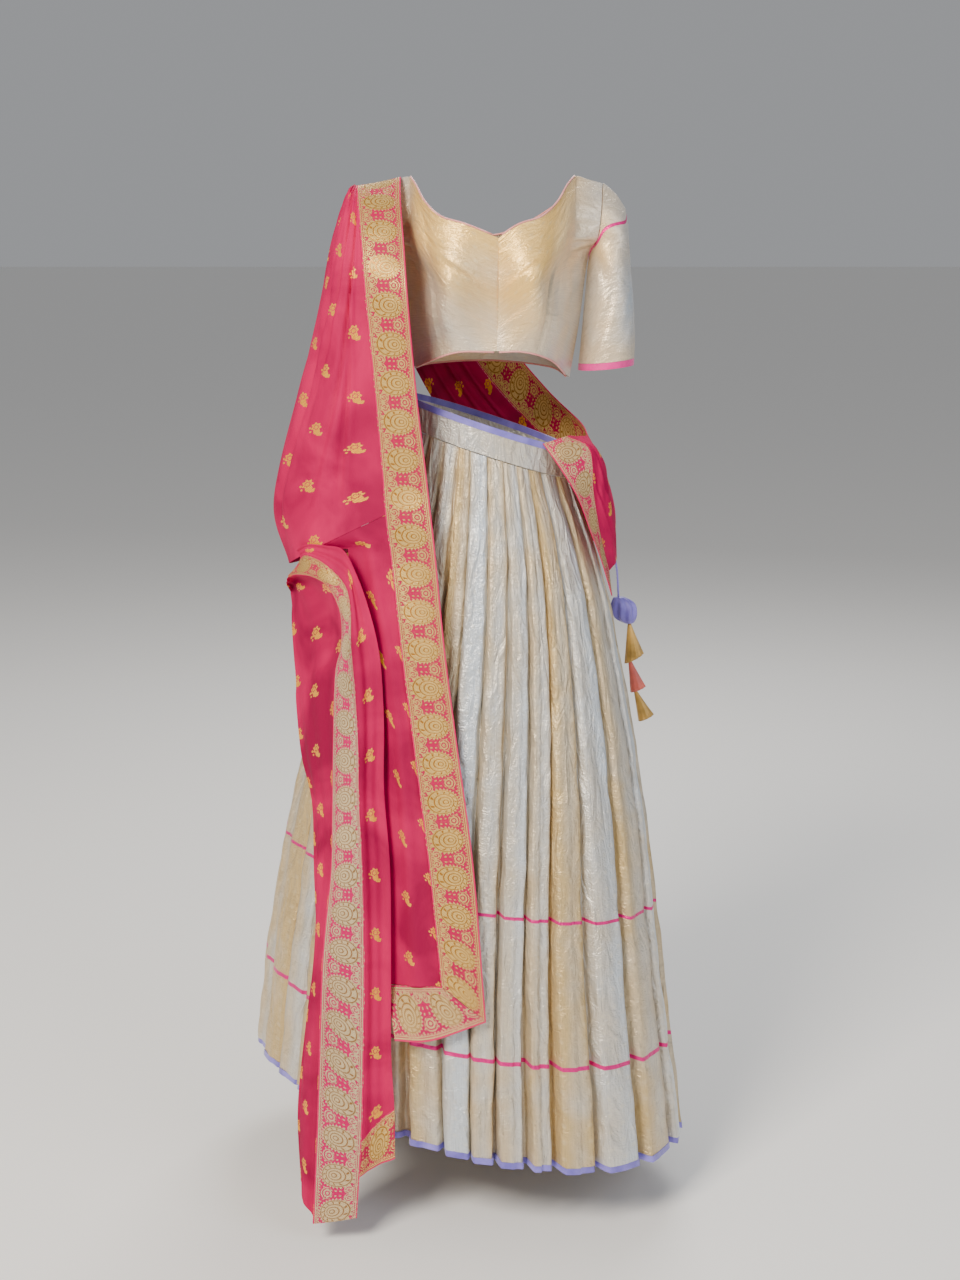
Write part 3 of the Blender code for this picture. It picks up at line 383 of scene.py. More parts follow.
# Stretch across the back, upper then lower edge, ending at the left side
BACK_STRETCH = (
    (-0.1240, 0.0625, 0.3236, -0.1880, 0.0625, 0.3136),
    (-0.0950, 0.100, 0.2850, -0.1700, 0.104, 0.2300),
    (-0.0350, 0.128, 0.2000, -0.1250, 0.132, 0.1000),
    (0.0300, 0.134, 0.1100, -0.0500, 0.142, -0.0300),
    (0.0950, 0.118, 0.0350, 0.0500, 0.142, -0.1300),
    (0.1420, 0.070, -0.0080, 0.1450, 0.108, -0.1850),
    (0.1500, 0.0125, -0.0220, 0.1920, 0.0105, -0.1950),
)

# Hip part from the left side to its border's far edge: three edges in each row
HIP_ROWS = (
    # side x, y, z, border right x, y, z, border left x, y, z
    (0.1500, 0.012, -0.0220, 0.1171, -0.063, -0.0147, 0.0811, -0.0676, -0.0260),
    (0.1690, 0.000, -0.0560, 0.1500, -0.060, -0.0349, 0.1081, -0.096, -0.0626),
    (0.1830, 0.000, -0.0960, 0.1545, -0.076, -0.0900, 0.1316, -0.104, -0.1018),
    (0.1910, 0.000, -0.1300, 0.1600, -0.086, -0.1300, 0.1500, -0.104, -0.1500),
    (0.1930, 0.004, -0.1600, 0.1680, -0.084, -0.1688, 0.1655, -0.094, -0.1900),
    (0.1920, 0.010, -0.1950, 0.1790, -0.072, -0.2116, 0.1835, -0.080, -0.2480),
)



# Tie with three cloth cones
TIE_CORD = (
    (0.1908, 0.0200, -0.1800),
    (0.1945, 0.0270, -0.2080),
    (0.1990, 0.0340, -0.2350),
    (0.2015, 0.0360, -0.2718),
)
CONES = (
    # name, material, apex x, z, mouth left x, z, mouth right x, z
    ("latkan_upper", "gold_silk", 0.2188, -0.3134, 0.2128, -0.3757, 0.2417, -0.3599),
    ("latkan_middle", "salmon_silk", 0.2200, -0.3700, 0.2227, -0.4215, 0.2457, -0.4120),
    ("latkan_lower", "gold_silk", 0.2290, -0.4170, 0.2359, -0.4677, 0.2589, -0.4566),
)
TIE_Y = 0.036


# Creases and darts: start across, start up, end across, end up, width, depth
FRONT_CREASES = (
    (0.40, 0.62, 0.62, 0.62, 0.200, -0.0070),
    (0.28, 0.34, 0.80, 0.32, 0.090, 0.0040),
    (0.50, 0.02, 0.50, 0.46, 0.012, 0.0034),
    (0.97, 0.55, 0.70, 0.50, 0.026, 0.0044),
    (0.98, 0.48, 0.72, 0.38, 0.024, 0.0038),
    (0.96, 0.68, 0.74, 0.66, 0.022, 0.0034),
    (0.98, 0.30, 0.78, 0.22, 0.026, 0.0026),
    (0.05, 0.30, 0.32, 0.36, 0.028, 0.0022),
    (0.04, 0.60, 0.30, 0.70, 0.030, 0.0020),
)
BACK_CREASES = (
    (0.30, 0.02, 0.31, 0.45, 0.016, 0.0020),
    (0.70, 0.02, 0.69, 0.45, 0.016, 0.0020),
    (0.03, 0.52, 0.22, 0.46, 0.026, 0.0022),
    (0.97, 0.52, 0.78, 0.46, 0.026, 0.0022),
    (0.05, 0.30, 0.26, 0.22, 0.030, 0.0014),
    (0.95, 0.30, 0.74, 0.22, 0.030, 0.0014),
)
SLEEVE_CREASES = (
    (0.10, 0.10, 0.32, 0.62, 0.030, 0.0030),
    (0.20, 0.08, 0.46, 0.50, 0.026, 0.0022),
    (0.30, 0.45, 0.14, 0.95, 0.024, 0.0026),
    (0.66, 0.10, 0.56, 0.55, 0.028, 0.0022),
    (0.82, 0.20, 0.70, 0.80, 0.030, 0.0022),
    (0.42, 0.62, 0.30, 0.90, 0.024, 0.0016),
)


# Helpers for cloth
def linear(code, alpha=1.0):
    # sRGB hex to linear colour
    parts = [int(code[i:i + 2], 16) / 255 for i in (1, 3, 5)]
    curved = [p / 12.92 if p <= 0.04045 else ((p + 0.055) / 1.055) ** 2.4 for p in parts]
    return (*curved, alpha)


def feed(tree, node, values):
    # Link or set the inputs of a node
    for key, value in values.items():
        if isinstance(value, bpy.types.NodeSocket):
            tree.links.new(value, node.inputs[key])
        elif value is not None:
            node.inputs[key].default_value = value


def add(tree, kind, values=(), out=0, **settings):
    # Add a node with its settings and links, and give back one of its outputs
    made = tree.nodes.new(kind)
    for key, value in settings.items():
        setattr(made, key, value)
    feed(tree, made, values if isinstance(values, dict) else dict(enumerate(values)))
    return made.outputs[out]


def curve(places, values, at):
    # Smooth curve through rows of values
    places = np.asarray(places, float)
    values = np.asarray(values, float)
    at = np.asarray(at, float)
    extra = (1,) * (values.ndim - 1)
    slopes = np.empty_like(values)
    slopes[1:-1] = (values[2:] - values[:-2]) / (places[2:] - places[:-2]).reshape((-1,) + extra)
    slopes[0] = (values[1] - values[0]) / (places[1] - places[0])
    slopes[-1] = (values[-1] - values[-2]) / (places[-1] - places[-2])
    cell = np.clip(np.searchsorted(places, at, side="right") - 1, 0, len(places) - 2)
    width = (places[cell + 1] - places[cell]).reshape((-1,) + extra)
    s = ((at - places[cell]) / (places[cell + 1] - places[cell])).reshape((-1,) + extra)
    h00 = 2 * s**3 - 3 * s**2 + 1
    h10 = s**3 - 2 * s**2 + s
    h01 = -2 * s**3 + 3 * s**2
    h11 = s**3 - s**2
    first = h00 * values[cell] + h10 * width * slopes[cell]
    return first + h01 * values[cell + 1] + h11 * width * slopes[cell + 1]


def through(points, count):
    # Smooth line through points, evenly shared
    points = np.asarray(points, float)
    places = np.linspace(0.0, 1.0, len(points))
    return curve(places, points, np.linspace(0.0, 1.0, count))


def grid_normals(grid, closed):
    if closed:
        along = np.roll(grid, -1, 1) - np.roll(grid, 1, 1)
    else:
        along = np.gradient(grid, axis=1)
    down = np.gradient(grid, axis=0)
    normal = np.cross(along, down)
    length = np.linalg.norm(normal, axis=2, keepdims=True)
    return normal / np.maximum(length, 1e-9)


def across(left, right, columns, fold=None):
    # Rows of cloth between two edges with folds added along the wall's normal
    share = np.linspace(0.0, 1.0, columns)[None, :, None]
    grid = left[:, None, :] * (1 - share) + right[:, None, :] * share
    if fold is not None:
        grid = grid + grid_normals(grid, False) * fold[:, :, None]
    return grid


def patch(bottom, top, first, last, rows, columns):
    # Four sided patch between edge curves
    u = np.linspace(0.0, 1.0, columns)[None, :, None]
    v = np.linspace(0.0, 1.0, rows)[:, None, None]
    bottom = through(bottom, columns)[None]
    top = through(top, columns)[None]
    first = through(first, rows)[:, None]
    last = through(last, rows)[:, None]
    ruled = (1 - v) * bottom + v * top + (1 - u) * first + u * last
    corner = (1 - u) * (1 - v) * bottom[:, :1] + u * (1 - v) * bottom[:, -1:]
    return ruled - corner - (1 - u) * v * top[:, :1] - u * v * top[:, -1:]


def inset(grid, left=0.0, right=0.0, top=0.0, bottom=0.0):
    # Draw the edges in by seam gaps
    out = grid.copy()
    old, new = grid.transpose(1, 0, 2), out.transpose(1, 0, 2)
    for gap, lines, drawn, rim, inner in (
        (left, old, new, 0, 1),
        (right, old, new, -1, -2),
        (top, grid, out, 0, 1),
        (bottom, grid, out, -1, -2),
    ):
        if gap:
            step = lines[inner] - lines[rim]
            drawn[rim] += gap * step / np.linalg.norm(step, axis=1, keepdims=True)
    return out


def shares(rows, columns):
    # Share of the way down and across a grid
    return np.linspace(0.0, 1.0, rows)[:, None], np.linspace(0.0, 1.0, columns)[None, :]


def unit(vectors):
    return vectors / np.linalg.norm(vectors, axis=-1, keepdims=True)


def spread(grid, wide=None, down=None):
    # Real lengths over the cloth, for its weave and its pattern
    rows, columns = grid.shape[:2]
    across_step = np.linalg.norm(np.diff(grid, axis=1), axis=2).mean(0)
    down_step = np.linalg.norm(np.diff(grid, axis=0), axis=2).mean(1)
    u = np.concatenate(((0.0,), np.cumsum(across_step)))
    v = np.concatenate(((0.0,), np.cumsum(down_step)))
    if wide is not None:
        u = np.linspace(0.0, wide, columns)
    if down is not None:
        v = down
    return np.repeat(u[None, :], rows, 0), np.repeat(v[:, None], columns, 1)


def cloth(name, node, material, grid, wall, closed=False, uv=None, tone=None):
    # Cloth of one thickness through a grid of points, standing for its CAD node
    rows, columns = grid.shape[:2]
    if uv is None:
        uv = spread(grid)
    bm = bmesh.new()
    bmesh.ops.create_grid(bm, x_segments=columns - 1, y_segments=rows - 1, size=1.0)
    layer = bm.loops.layers.uv.new("cloth")
    toned = bm.verts.layers.float.new("tone")
    place = {}
    for vertex in bm.verts:
        j = round((vertex.co.x + 1) / 2 * (columns - 1))
        i = round((vertex.co.y + 1) / 2 * (rows - 1))
        place[vertex] = (i, j)
    for vertex, (i, j) in place.items():
        vertex.co = Vector(grid[i, j])
        vertex[toned] = 0.4 if tone is None else float(tone[i, j])
    for edge_ in bm.edges:
        edge_.smooth = not edge_.is_boundary
    for face in bm.faces:
        face.smooth = True
        for loop in face.loops:
            i, j = place[loop.vert]
            loop[layer].uv = (uv[0][i, j], uv[1][i, j])
    if closed:
        bmesh.ops.remove_doubles(bm, verts=bm.verts, dist=1e-6)
    piece = finished(name, bm, material)
    solidify = piece.modifiers.new("wall", "SOLIDIFY")
    solidify.thickness = wall
    solidify.offset = 0.0
    dress(piece, node)
    return piece


def finished(name, bm, material):
    mesh = bpy.data.meshes.new(name)
    bm.to_mesh(mesh)
    bm.free()
    mesh.materials.append(material)
    piece = bpy.data.objects.new(name, mesh)
    bpy.context.scene.collection.objects.link(piece)
    return piece


def dress(piece, node):
    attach(piece, "root")
    if node:
        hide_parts(node)


def ring_edges(made):
    return list({edge_ for vertex in made["verts"] for edge_ in vertex.link_edges})


def closed_body(name, node, bm, rings, material, smooth=True):
    # One closed body over rings of edges
    for first, second in zip(rings, rings[1:]):
        bmesh.ops.bridge_loops(bm, edges=first + second)
    bmesh.ops.recalc_face_normals(bm, faces=bm.faces)
    if smooth:
        for face in bm.faces:
            face.smooth = True
    piece = finished(name, bm, material)
    dress(piece, node)
    return piece


def steady(side, along):
    # Turn the side direction as little as the path allows
    side = side - along * np.dot(side, along)
    side = side / np.linalg.norm(side)
    return side, np.cross(along, side)


def piping(name, node, path):
    # Round cord along a path
    count = len(path)
    tangent = unit(np.gradient(path, axis=0))
    side = np.cross(tangent[0], (0.0, 0.0, 1.0))
    if np.linalg.norm(side) < 0.2:
        side = np.cross(tangent[0], (0.0, 1.0, 0.0))
    bm = bmesh.new()
    rings = []
    for k in range(count):
        side, up = steady(side, tangent[k])
        ends = k in (0, count - 1)
        made = bmesh.ops.create_circle(bm, cap_ends=ends, segments=10, radius=PIPING_RADIUS)
        turned = np.stack((side, up, tangent[k]), 1)
        for vertex in made["verts"]:
            vertex.co = Vector(path[k] + turned @ np.array(vertex.co))
        rings.append(ring_edges(made))
    closed_body(name, node, bm, rings, PALE_PINK)


def creases(grid, lines):
    # Soft troughs with a raised lip beside them, each placed one by one
    rows, columns = grid.shape[:2]
    v, u = shares(rows, columns)
    normal = grid_normals(grid, False)
    outward = np.sign((normal * (grid - grid.mean((0, 1)))).sum())
    depth = np.zeros((rows, columns))
    for u0, v0, u1, v1, width, deep in lines:
        along = ((u - u0) * (u1 - u0) + (v - v0) * (v1 - v0)) / ((u1 - u0) ** 2 + (v1 - v0) ** 2)
        run = np.clip(along, 0.0, 1.0)
        away = (u - u0 - run * (u1 - u0)) * (v1 - v0) - (v - v0 - run * (v1 - v0)) * (u1 - u0)
        away = away / math.hypot(u1 - u0, v1 - v0)
        past = np.abs(along - run) * math.hypot(u1 - u0, v1 - v0)
        taper = np.sin(math.pi * np.clip(run, 0.04, 0.96)) ** 0.6 * np.exp(-(past / width) ** 2)
        trough = np.exp(-(away / width) ** 2) - 0.55 * np.exp(-((away - 1.9 * width) / width) ** 2)
        depth -= deep * trough * taper
    return grid + normal * outward * depth[:, :, None]


def soft_noise(u, v, seed):
    # Slow unevenness from a few waves of unlike lengths
    total = 0.0
    for k in range(1, 5):
        turn = seed * 1.7 + k * 2.4
        total = total + np.sin(k * (u * math.cos(turn) + v * math.sin(turn)) + turn * 3.1) / k
    return total / 2.0


# Skirt
PLEAT_POINTS = (
    (0.0, 0.03, 0.06, 0.09, 0.12, 0.16, 0.24, 0.34, 0.40, 0.46)
    + (0.53, 0.59, 0.68, 0.77, 0.84, 0.88, 0.91, 0.94, 0.97)
)
PLEAT_STEPS = len(PLEAT_POINTS)


def pleat_profile(share, number):
    # Knife pleat: a sharp fold, a flat face that sinks towards the next fold, a narrow valley
    rise = np.clip((share - 0.03) / 0.13, 0.0, 1.0)
    fall = np.clip((0.97 - share) / 0.13, 0.0, 1.0)
    face = 1.06 - 0.22 * share + 0.06 * math.sin(number * 1.9) * np.sin(math.pi * share)
    step = np.clip((share - 0.46 - 0.12 * math.sin(number * 2.7)) / 0.06, 0.0, 1.0)
    face = face - (0.10 + 0.07 * math.sin(number * 1.3)) * step
    return rise ** 2 * (3 - 2 * rise) * fall ** 2 * (3 - 2 * fall) * face


def pleat_columns():
    edges = list(PLEAT_EDGES)
    (waist_from, hem_from), (waist_to, hem_to) = BACK_EDGES
    waist_step = (waist_to - waist_from) / BACK_PLEATS
    hem_step = (hem_to - hem_from) / BACK_PLEATS
    for k in range(1, BACK_PLEATS):
        sway = 1.1 * math.sin(k * 2.3)
        edges.append((waist_from + waist_step * k, hem_from + hem_step * k + sway))
    edges.append((waist_to, hem_to))
    columns = []
    for number, (first, second) in enumerate(zip(edges, edges[1:])):
        for share in PLEAT_POINTS:
            at_waist = first[0] + share * (second[0] - first[0])
            at_hem = first[1] + share * (second[1] - first[1])
            depth = float(pleat_profile(share, number))
            # Painted reflection: tone turns from gold to silver across each pleat's faces, as warm and cool lamps
            # show on its metal thread; each pleat adds a random tone
            tone = 0.52 + 0.18 * math.sin(2 * math.pi * share + 0.7 + 0.8 * math.sin(number * 2.1))
            tone += 0.30 * math.sin(number * 3.7) + 0.16 * math.sin(number * 1.1 + 0.6)
            columns.append((at_waist, at_hem, depth, tone, number))
    return np.array(columns)


def skirt_ring(z, columns, lift=0.0):
    # One level of the skirt, the pleats opening toward the hem
    table = np.array(SKIRT_LEVELS)
    order = -table[:, 0]
    values = curve(order, table[:, 1:], np.array([-z]))[0]
    left, right, front, back, shear, tilt, pleat = values
    share = np.clip((z - SKIRT_TOP_Z) / (HEM_Z - SKIRT_TOP_Z), 0.0, 1.0)
    turn = np.radians(columns[:, 0] * (1 - share) + columns[:, 1] * share)
    middle = (left + right) / 2
    half = (right - left) / 2
    depth = pleat * (columns[:, 2] - 1.0) + lift
    side = np.sin(turn)
    ahead = np.cos(turn)
    reach = np.where(ahead > 0, -front, back)
    x = middle + (half + depth) * side
    y = -(reach + depth) * ahead - shear * (x - middle)
    height = z + tilt * (x - middle * min(1.0, share * 3))
    return np.stack((x, y, height), 1)


def skirt_grid(levels, columns):
    rows = []
    for z in levels:
        fall = np.clip(-z, 0.0, 1.0)
        sway = 0.5 * np.sin(columns[:, 4] * 1.3 + fall * 5.0) * fall
        moved = columns.copy()
        moved[:, 1] += sway
        rows.append(skirt_ring(z, moved))
    return np.stack(rows, 0)


def build_skirt():
    columns = pleat_columns()
    low = HEM_Z + HEM_EDGE_DEPTH
    top_levels = np.linspace(SKIRT_TOP_Z, SKIRT_EASE_Z, 9)[:-1]
    levels = np.concatenate((top_levels, np.linspace(SKIRT_EASE_Z, low, 92)))
    grid = skirt_grid(levels, columns)
    spin = np.radians(columns[:, 0])[None, :]
    fall = -levels[:, None]
    slow, middle, fine = [soft_noise(spin * a, fall * b, c) * deep for a, b, c, deep in SKIRT_CRUMPLE]
    crumple = slow * np.clip(fall * 2.0, 0.0, 1.0) + middle + fine
    grid = grid + grid_normals(grid, True) * crumple[:, :, None]
    # Tone: the pleats' painted reflection and random patches, rising toward the wearer's right side, more gold
    # there
    tone = np.repeat(columns[None, :, 3], len(levels), 0)
    tone = tone + 0.12 * soft_noise(spin * 5.0, fall * 7.0, 1.3)
    tone = tone + 0.45 * np.clip((-grid[:, :, 0] - 0.14) / 0.12, 0.0, 1.0)
    around = np.cumsum(np.linalg.norm(np.roll(grid, -1, 1) - grid, axis=2).mean(0))
    first, last = [seam_column(columns, degrees) for degrees in SKIRT_SEAMS]
    count = len(columns)
    front = [k % count for k in range(last, count + first + 1)]
    back = list(range(first, last + 1))
    for name, node, part in (
        ("skirt_front_cloth", "skirt_front_panel", front),
        ("skirt_back_cloth", "skirt_back_panel", back),
    ):
        u = np.cumsum(np.concatenate(((0.0,), np.diff(around[part]) % around[-1])))
        uv = (np.repeat(u[None, :], len(levels), 0), np.repeat(fall, len(part), 1))
        piece = cloth(name, node, SILK, grid[:, part], SILK_WALL, False, uv, tone[:, part])
    hem = skirt_grid((low - SEAM_GAP, HEM_FOLD_Z, HEM_Z), columns)
    hem = np.concatenate((hem, hem[:, :1]), 1)
    wall = SILK_WALL + TRIM_EXTRA
    piece = cloth("skirt_hem_satin", "skirt_hem_edge", LAVENDER, hem, wall, True)


def seam_column(columns, degrees):
    nearest = int(np.argmin(np.abs(columns[:, 0] - degrees)))
    return nearest - nearest % PLEAT_STEPS


def band_ring(depth, count=145):
    turn = np.linspace(0.0, 2 * math.pi, count)
    swell = 0.10 * depth
    x = (WAIST_HALF_WIDTH - 0.004 + swell) * np.sin(turn)
    y = -(WAIST_HALF_DEPTH - 0.004 + swell) * np.cos(turn)
    wave = 0.0006 * np.sin(turn * 17.0) * min(1.0, depth * 60.0)
    z = BAND_FRONT_Z + BAND_TILT * x - depth
    return np.stack((x * (1 + wave * 8), y * (1 + wave * 8), z), 1)


def build_band():
    edge_rows = np.stack([band_ring(d) for d in np.linspace(0.0, BAND_EDGE_DEPTH, 4)], 0)
    wall = BAND_WALL + TRIM_EXTRA
    piece = cloth("waistband_satin", "waistband_edge", LAVENDER, edge_rows, wall, True)
    low = BAND_FRONT_Z - SKIRT_TOP_Z - SEAM_GAP - 0.0012
    rows = np.stack([band_ring(d) for d in np.linspace(BAND_EDGE_DEPTH + SEAM_GAP, low, 12)], 0)
    piece = cloth("waistband_cloth", "waistband", SILK, rows, BAND_WALL, True)


# Blouse edge curves, first point at the centre front or the back's middle
def blouse_curves(side):
    # side is 1 for the wearer's left and -1 for the wearer's right
    if side > 0:
        tip = (0.166, 0.004, 0.342)
        neck = (0.128, 0.000, 0.352)
        armpit = (0.147, 0.004, 0.238)
        low = (0.121, 0.004, 0.064)
    else:
        tip = (-0.152, 0.004, 0.3420)
        neck = (-0.112, 0.000, 0.3510)
        armpit = (-0.134, 0.004, 0.232)
        low = (-0.110, 0.004, 0.078)
    centre_low = (0.014, -0.112, 0.110)
    centre_top = (0.016, -0.112, 0.266)
    reach = 1.0 if side > 0 else -1.0
    shift = 0.0 if side > 0 else 0.012
    hem = (
        centre_low,
        (reach * 0.052 + shift, -0.108, 0.110),
        (reach * 0.092 + shift, -0.078, 0.096),
        low,
    )
    neckline = (
        centre_top,
        (reach * 0.050 + shift, -0.112, 0.287),
        (reach * 0.088 + shift, -0.088, 0.300),
        (reach * 0.108 + shift, -0.050, 0.330),
        (neck[0] - reach * 0.003, -0.010, neck[2] - 0.002),
        neck,
    )
    shoulder = ((np.array(neck) + np.array(tip)) / 2, tip)
    neckline = np.vstack((through(neckline, 7), shoulder))
    seam = (
        low,
        (low[0] + (armpit[0] - low[0]) * 0.52, -0.002, low[2] + 0.083),
        armpit,
        (tip[0] * 0.955, -0.026, 0.266),
        (tip[0] * 0.985, -0.026, 0.308),
        tip,
    )
    return hem, neckline, seam, (centre_low, (0.015, -0.104, 0.150), (0.016, -0.110, 0.210), centre_top)


def blouse_front(side, rows, columns):
    hem, neckline, seam, centre = blouse_curves(side)
    grid = patch(hem, neckline, centre, seam, rows, columns)
    x = grid[:, :, 0]
    z = grid[:, :, 2]
    apex = 0.074 if side > 0 else -0.056
    cup = np.exp(-(((x - apex) / 0.040) ** 2) - ((z - 0.190) / 0.052) ** 2)
    share = shares(rows, columns)[1]
    fade = np.minimum(1.0, (1.0 - share) * 5.0)
    grid[:, :, 1] -= 0.042 * cup * fade
    grid[:, :, 0] += side * 0.004 * cup * fade
    return grid


# How far the back is let out, from its hem up to its neckline
BACK_FILL = (0.0, 0.005, 0.012, 0.020, 0.025, 0.015, 0.002, -0.003, -0.004, -0.001, 0.0)


def blouse_back(rows, columns):
    right = blouse_curves(-1)
    left = blouse_curves(1)
    low_r, low_l = np.array(right[0][-1]), np.array(left[0][-1])
    tip_r, tip_l = np.array(right[1][-1]), np.array(left[1][-1])
    neck_r, neck_l = np.array(right[1][6]), np.array(left[1][6])
    gap = np.array((0.0, SEAM_GAP, 0.0))
    hem_points = ((-0.078, 0.072, 0.082), (0.008, 0.096, 0.084), (0.094, 0.074, 0.076))
    hem = (low_r + gap, *hem_points, low_l + gap)
    curve_points = (neck_r, (-0.086, 0.048, 0.306), (0.008, 0.078, 0.268), (0.102, 0.050, 0.312), neck_l)
    neckline = through(curve_points, 11)
    top = np.vstack((tip_r, (tip_r + neck_r) / 2, neckline, (tip_l + neck_l) / 2, tip_l)) + gap
    sides = []
    for curves in (right, left):
        seam = np.array(curves[2])
        back = seam.copy()
        back[1:5, 1] = 0.008 - seam[1:5, 1] * 1.1
        back[0, 1] += SEAM_GAP
        back[2, 1] = seam[2, 1] + SEAM_GAP
        back[1, 1] = seam[1, 1] + 0.010
        back[5, 1] += SEAM_GAP
        sides.append(back)
    grid = patch(hem, top, sides[0], sides[1], rows, columns)
    rise, share = shares(rows, columns)
    grid[:, :, 1] -= 0.022 * np.sin(math.pi * share) * np.sin(math.pi * rise)
    # The back lies smooth from its hem to its neckline
    filled = np.interp(rise[:, 0], np.linspace(0.0, 1.0, len(BACK_FILL)), BACK_FILL)[:, None]
    grid[:, :, 1] += filled * np.abs(np.sin(math.pi * share)) ** 0.7
    return grid


def beside(line, inner):
    # A piping's middle line, square to the cloth's edge and clear of it
    along = unit(np.gradient(line, axis=0))
    away = line - inner
    away = unit(away - along * np.sum(away * along, axis=1, keepdims=True))
    return line + away * (PIPING_RADIUS + HALF_GAP)


def sleeve_ring(ring, side, middle, reach, slope):
    centre = ring.mean(0)
    angle = np.arctan2(ring[:, 1] - centre[1], ring[:, 2] - centre[2])
    x = middle[0] + side * reach[0] * np.cos(angle)
    y = middle[1] + reach[1] * np.sin(angle)
    return np.stack((x, y, middle[2] + slope * (x - middle[0])), 1)


def cap_weight(grid):
    # 1 at the top of the armhole, 0 at the armpit
    middle = grid[0].mean(0)
    angle = np.arctan2(grid[0, :, 1] - middle[1], grid[0, :, 2] - middle[2])
    return (1.0 + np.cos(angle)) / 2


def cap_swell(grid):
    swell = np.interp(np.linspace(0.0, 1.0, len(grid)), CAP_RUN, CAP_OUT)[:, None]
    return swell * cap_weight(grid)[None, :]


def build_sleeve(side, name, front, back):
    # From the armhole that front and back edges make to the sleeve's hem
    start = int(round((front.shape[0] - 1) * 0.4))
    edge_line = back[start:, -1 if side > 0 else 0]
    ring = np.vstack((front[start:, -1], edge_line[::-1][1:-1]))
    middle, reach, slope = SLEEVE_HEMS[side]
    end = sleeve_ring(ring, side, middle, reach, slope)
    run = np.linspace(0.0, 1.0, SLEEVE_ROWS)
    ease = (run * run * (3 - 2 * run) * 0.35 + run * 0.65)[:, None, None]
    grid = ring[None] * (1 - ease) + end[None] * ease
    push = np.interp(run, (0.0, 0.12, 0.5, 1.0), (0.0019, 0.0012, 0.0008, 0.0))
    grid[:, :, 0] += side * push[:, None]
    outward = unit(grid - grid.mean(1, keepdims=True))
    away = np.clip(outward[:, :, 0] * side + 0.35, 0.0, 1.0)
    grid = grid + outward * (np.sin(math.pi * run)[:, None] * 0.006 * away)[:, :, None]
    grid[:, :, 0] += side * CAP_SHARE[side] * cap_swell(grid)
    grid = np.concatenate((grid, grid[:, :1]), 1)
    keep = np.sin(math.pi * np.clip(run, 0.0, 1.0))[:, None, None] ** 0.5
    grid = grid * (1 - keep) + creases(grid, SLEEVE_CREASES) * keep
    grid[:, -1] = grid[:, 0]
    u, v = spread(grid)
    reach = np.linalg.norm(np.diff(grid, axis=0), axis=2)
    v[1:] = np.cumsum(reach, axis=0)
    v = v - (0.002 + 0.055 * cap_weight(grid)[None, :] ** 2.5) + STRIPE_UPPER
    tone = 0.45 + 0.35 * soft_noise(u * 30.0, v * 9.0, side * 1.0)
    piece = silk("sleeve_cloth_" + name, "sleeve_" + name, grid, True, (u, v), tone)
    fall = unit(grid[-1] - grid[-3])
    steps = np.linspace(SEAM_GAP, SLEEVE_BAND_DEPTH, 4)[:, None, None]
    band = grid[-1][None] + fall[None] * steps
    wall = SILK_WALL + TRIM_EXTRA
    piece = cloth("sleeve_satin_" + name, "sleeve_band_" + name, PINK, band, wall, True)


def silk(name, node, grid, closed, uv, tone):
    return cloth(name, node, TAUT_SILK, grid, SILK_WALL, closed, uv, tone)


def build_blouse():
    rows, columns = BLOUSE_GRID
    fronts = {}
    for side, name in ((-1, "right"), (1, "left")):
        grid = blouse_front(side, rows, columns)
        fronts[side] = grid
        shown = creases(grid, FRONT_CREASES)
        shown[:, -1] = grid[:, -1]
        shown[-1] = grid[-1]
        u, v = spread(shown)
        run, share = shares(rows, columns)
        # Painted highlight: tone is most gold at the centre front and toward the top, going silver toward the
        # sides; random patches on top
        tone = 0.28 + 0.85 * np.exp(-((share - 0.22) / 0.42) ** 2) * (0.35 + 0.65 * run)
        tone = tone + 0.18 * soft_noise(u * 22.0, v * 17.0, 2.0 + side)
        node = "blouse_front_" + name
        piece = silk(node + "_cloth", node, inset(shown, left=CENTRE_GAP), False, (u, v), tone)
    back = blouse_back(rows, BACK_COLUMNS)
    back[:, :, 1] += 0.0012
    shown = creases(back, BACK_CREASES)
    shown[:, 0], shown[:, -1], shown[-1] = back[:, 0], back[:, -1], back[-1]
    u, v = spread(shown)
    tone = 0.34 + 0.30 * soft_noise(u * 20.0, v * 15.0, 4.0)
    piece = silk("blouse_back_cloth", "blouse_back", shown, False, (u, v), tone)
    for side, name in ((-1, "right"), (1, "left")):
        build_sleeve(side, name, fronts[side], back)
        grid = fronts[side]
        line = beside(grid[-1], grid[-2])[1:26]
        piping("neck_cord_" + name, "neck_piping_" + name, line)
        line = beside(grid[0], grid[1])[1:-3]
        piping("hem_cord_front_" + name, "hem_piping_front_" + name, line)
    piping("hem_cord_back", "hem_piping_back", beside(back[0], back[1])[3:-3])
    piping("neck_cord_back", "neck_piping_back", beside(back[-1], back[-2])[17:-17])


def folds(rows, columns, depth, waves, phase, start):
    # Soft folds deepening down the rows
    run, share = shares(rows, columns)
    wave = np.sin(2 * math.pi * waves * share + phase)
    fade = np.sin(math.pi * share) ** 0.5
    return depth * (start + (1 - start) * run) * wave * fade


def edge(table, first, rows):
    return through(np.array(table)[:, first:first + 3], rows)


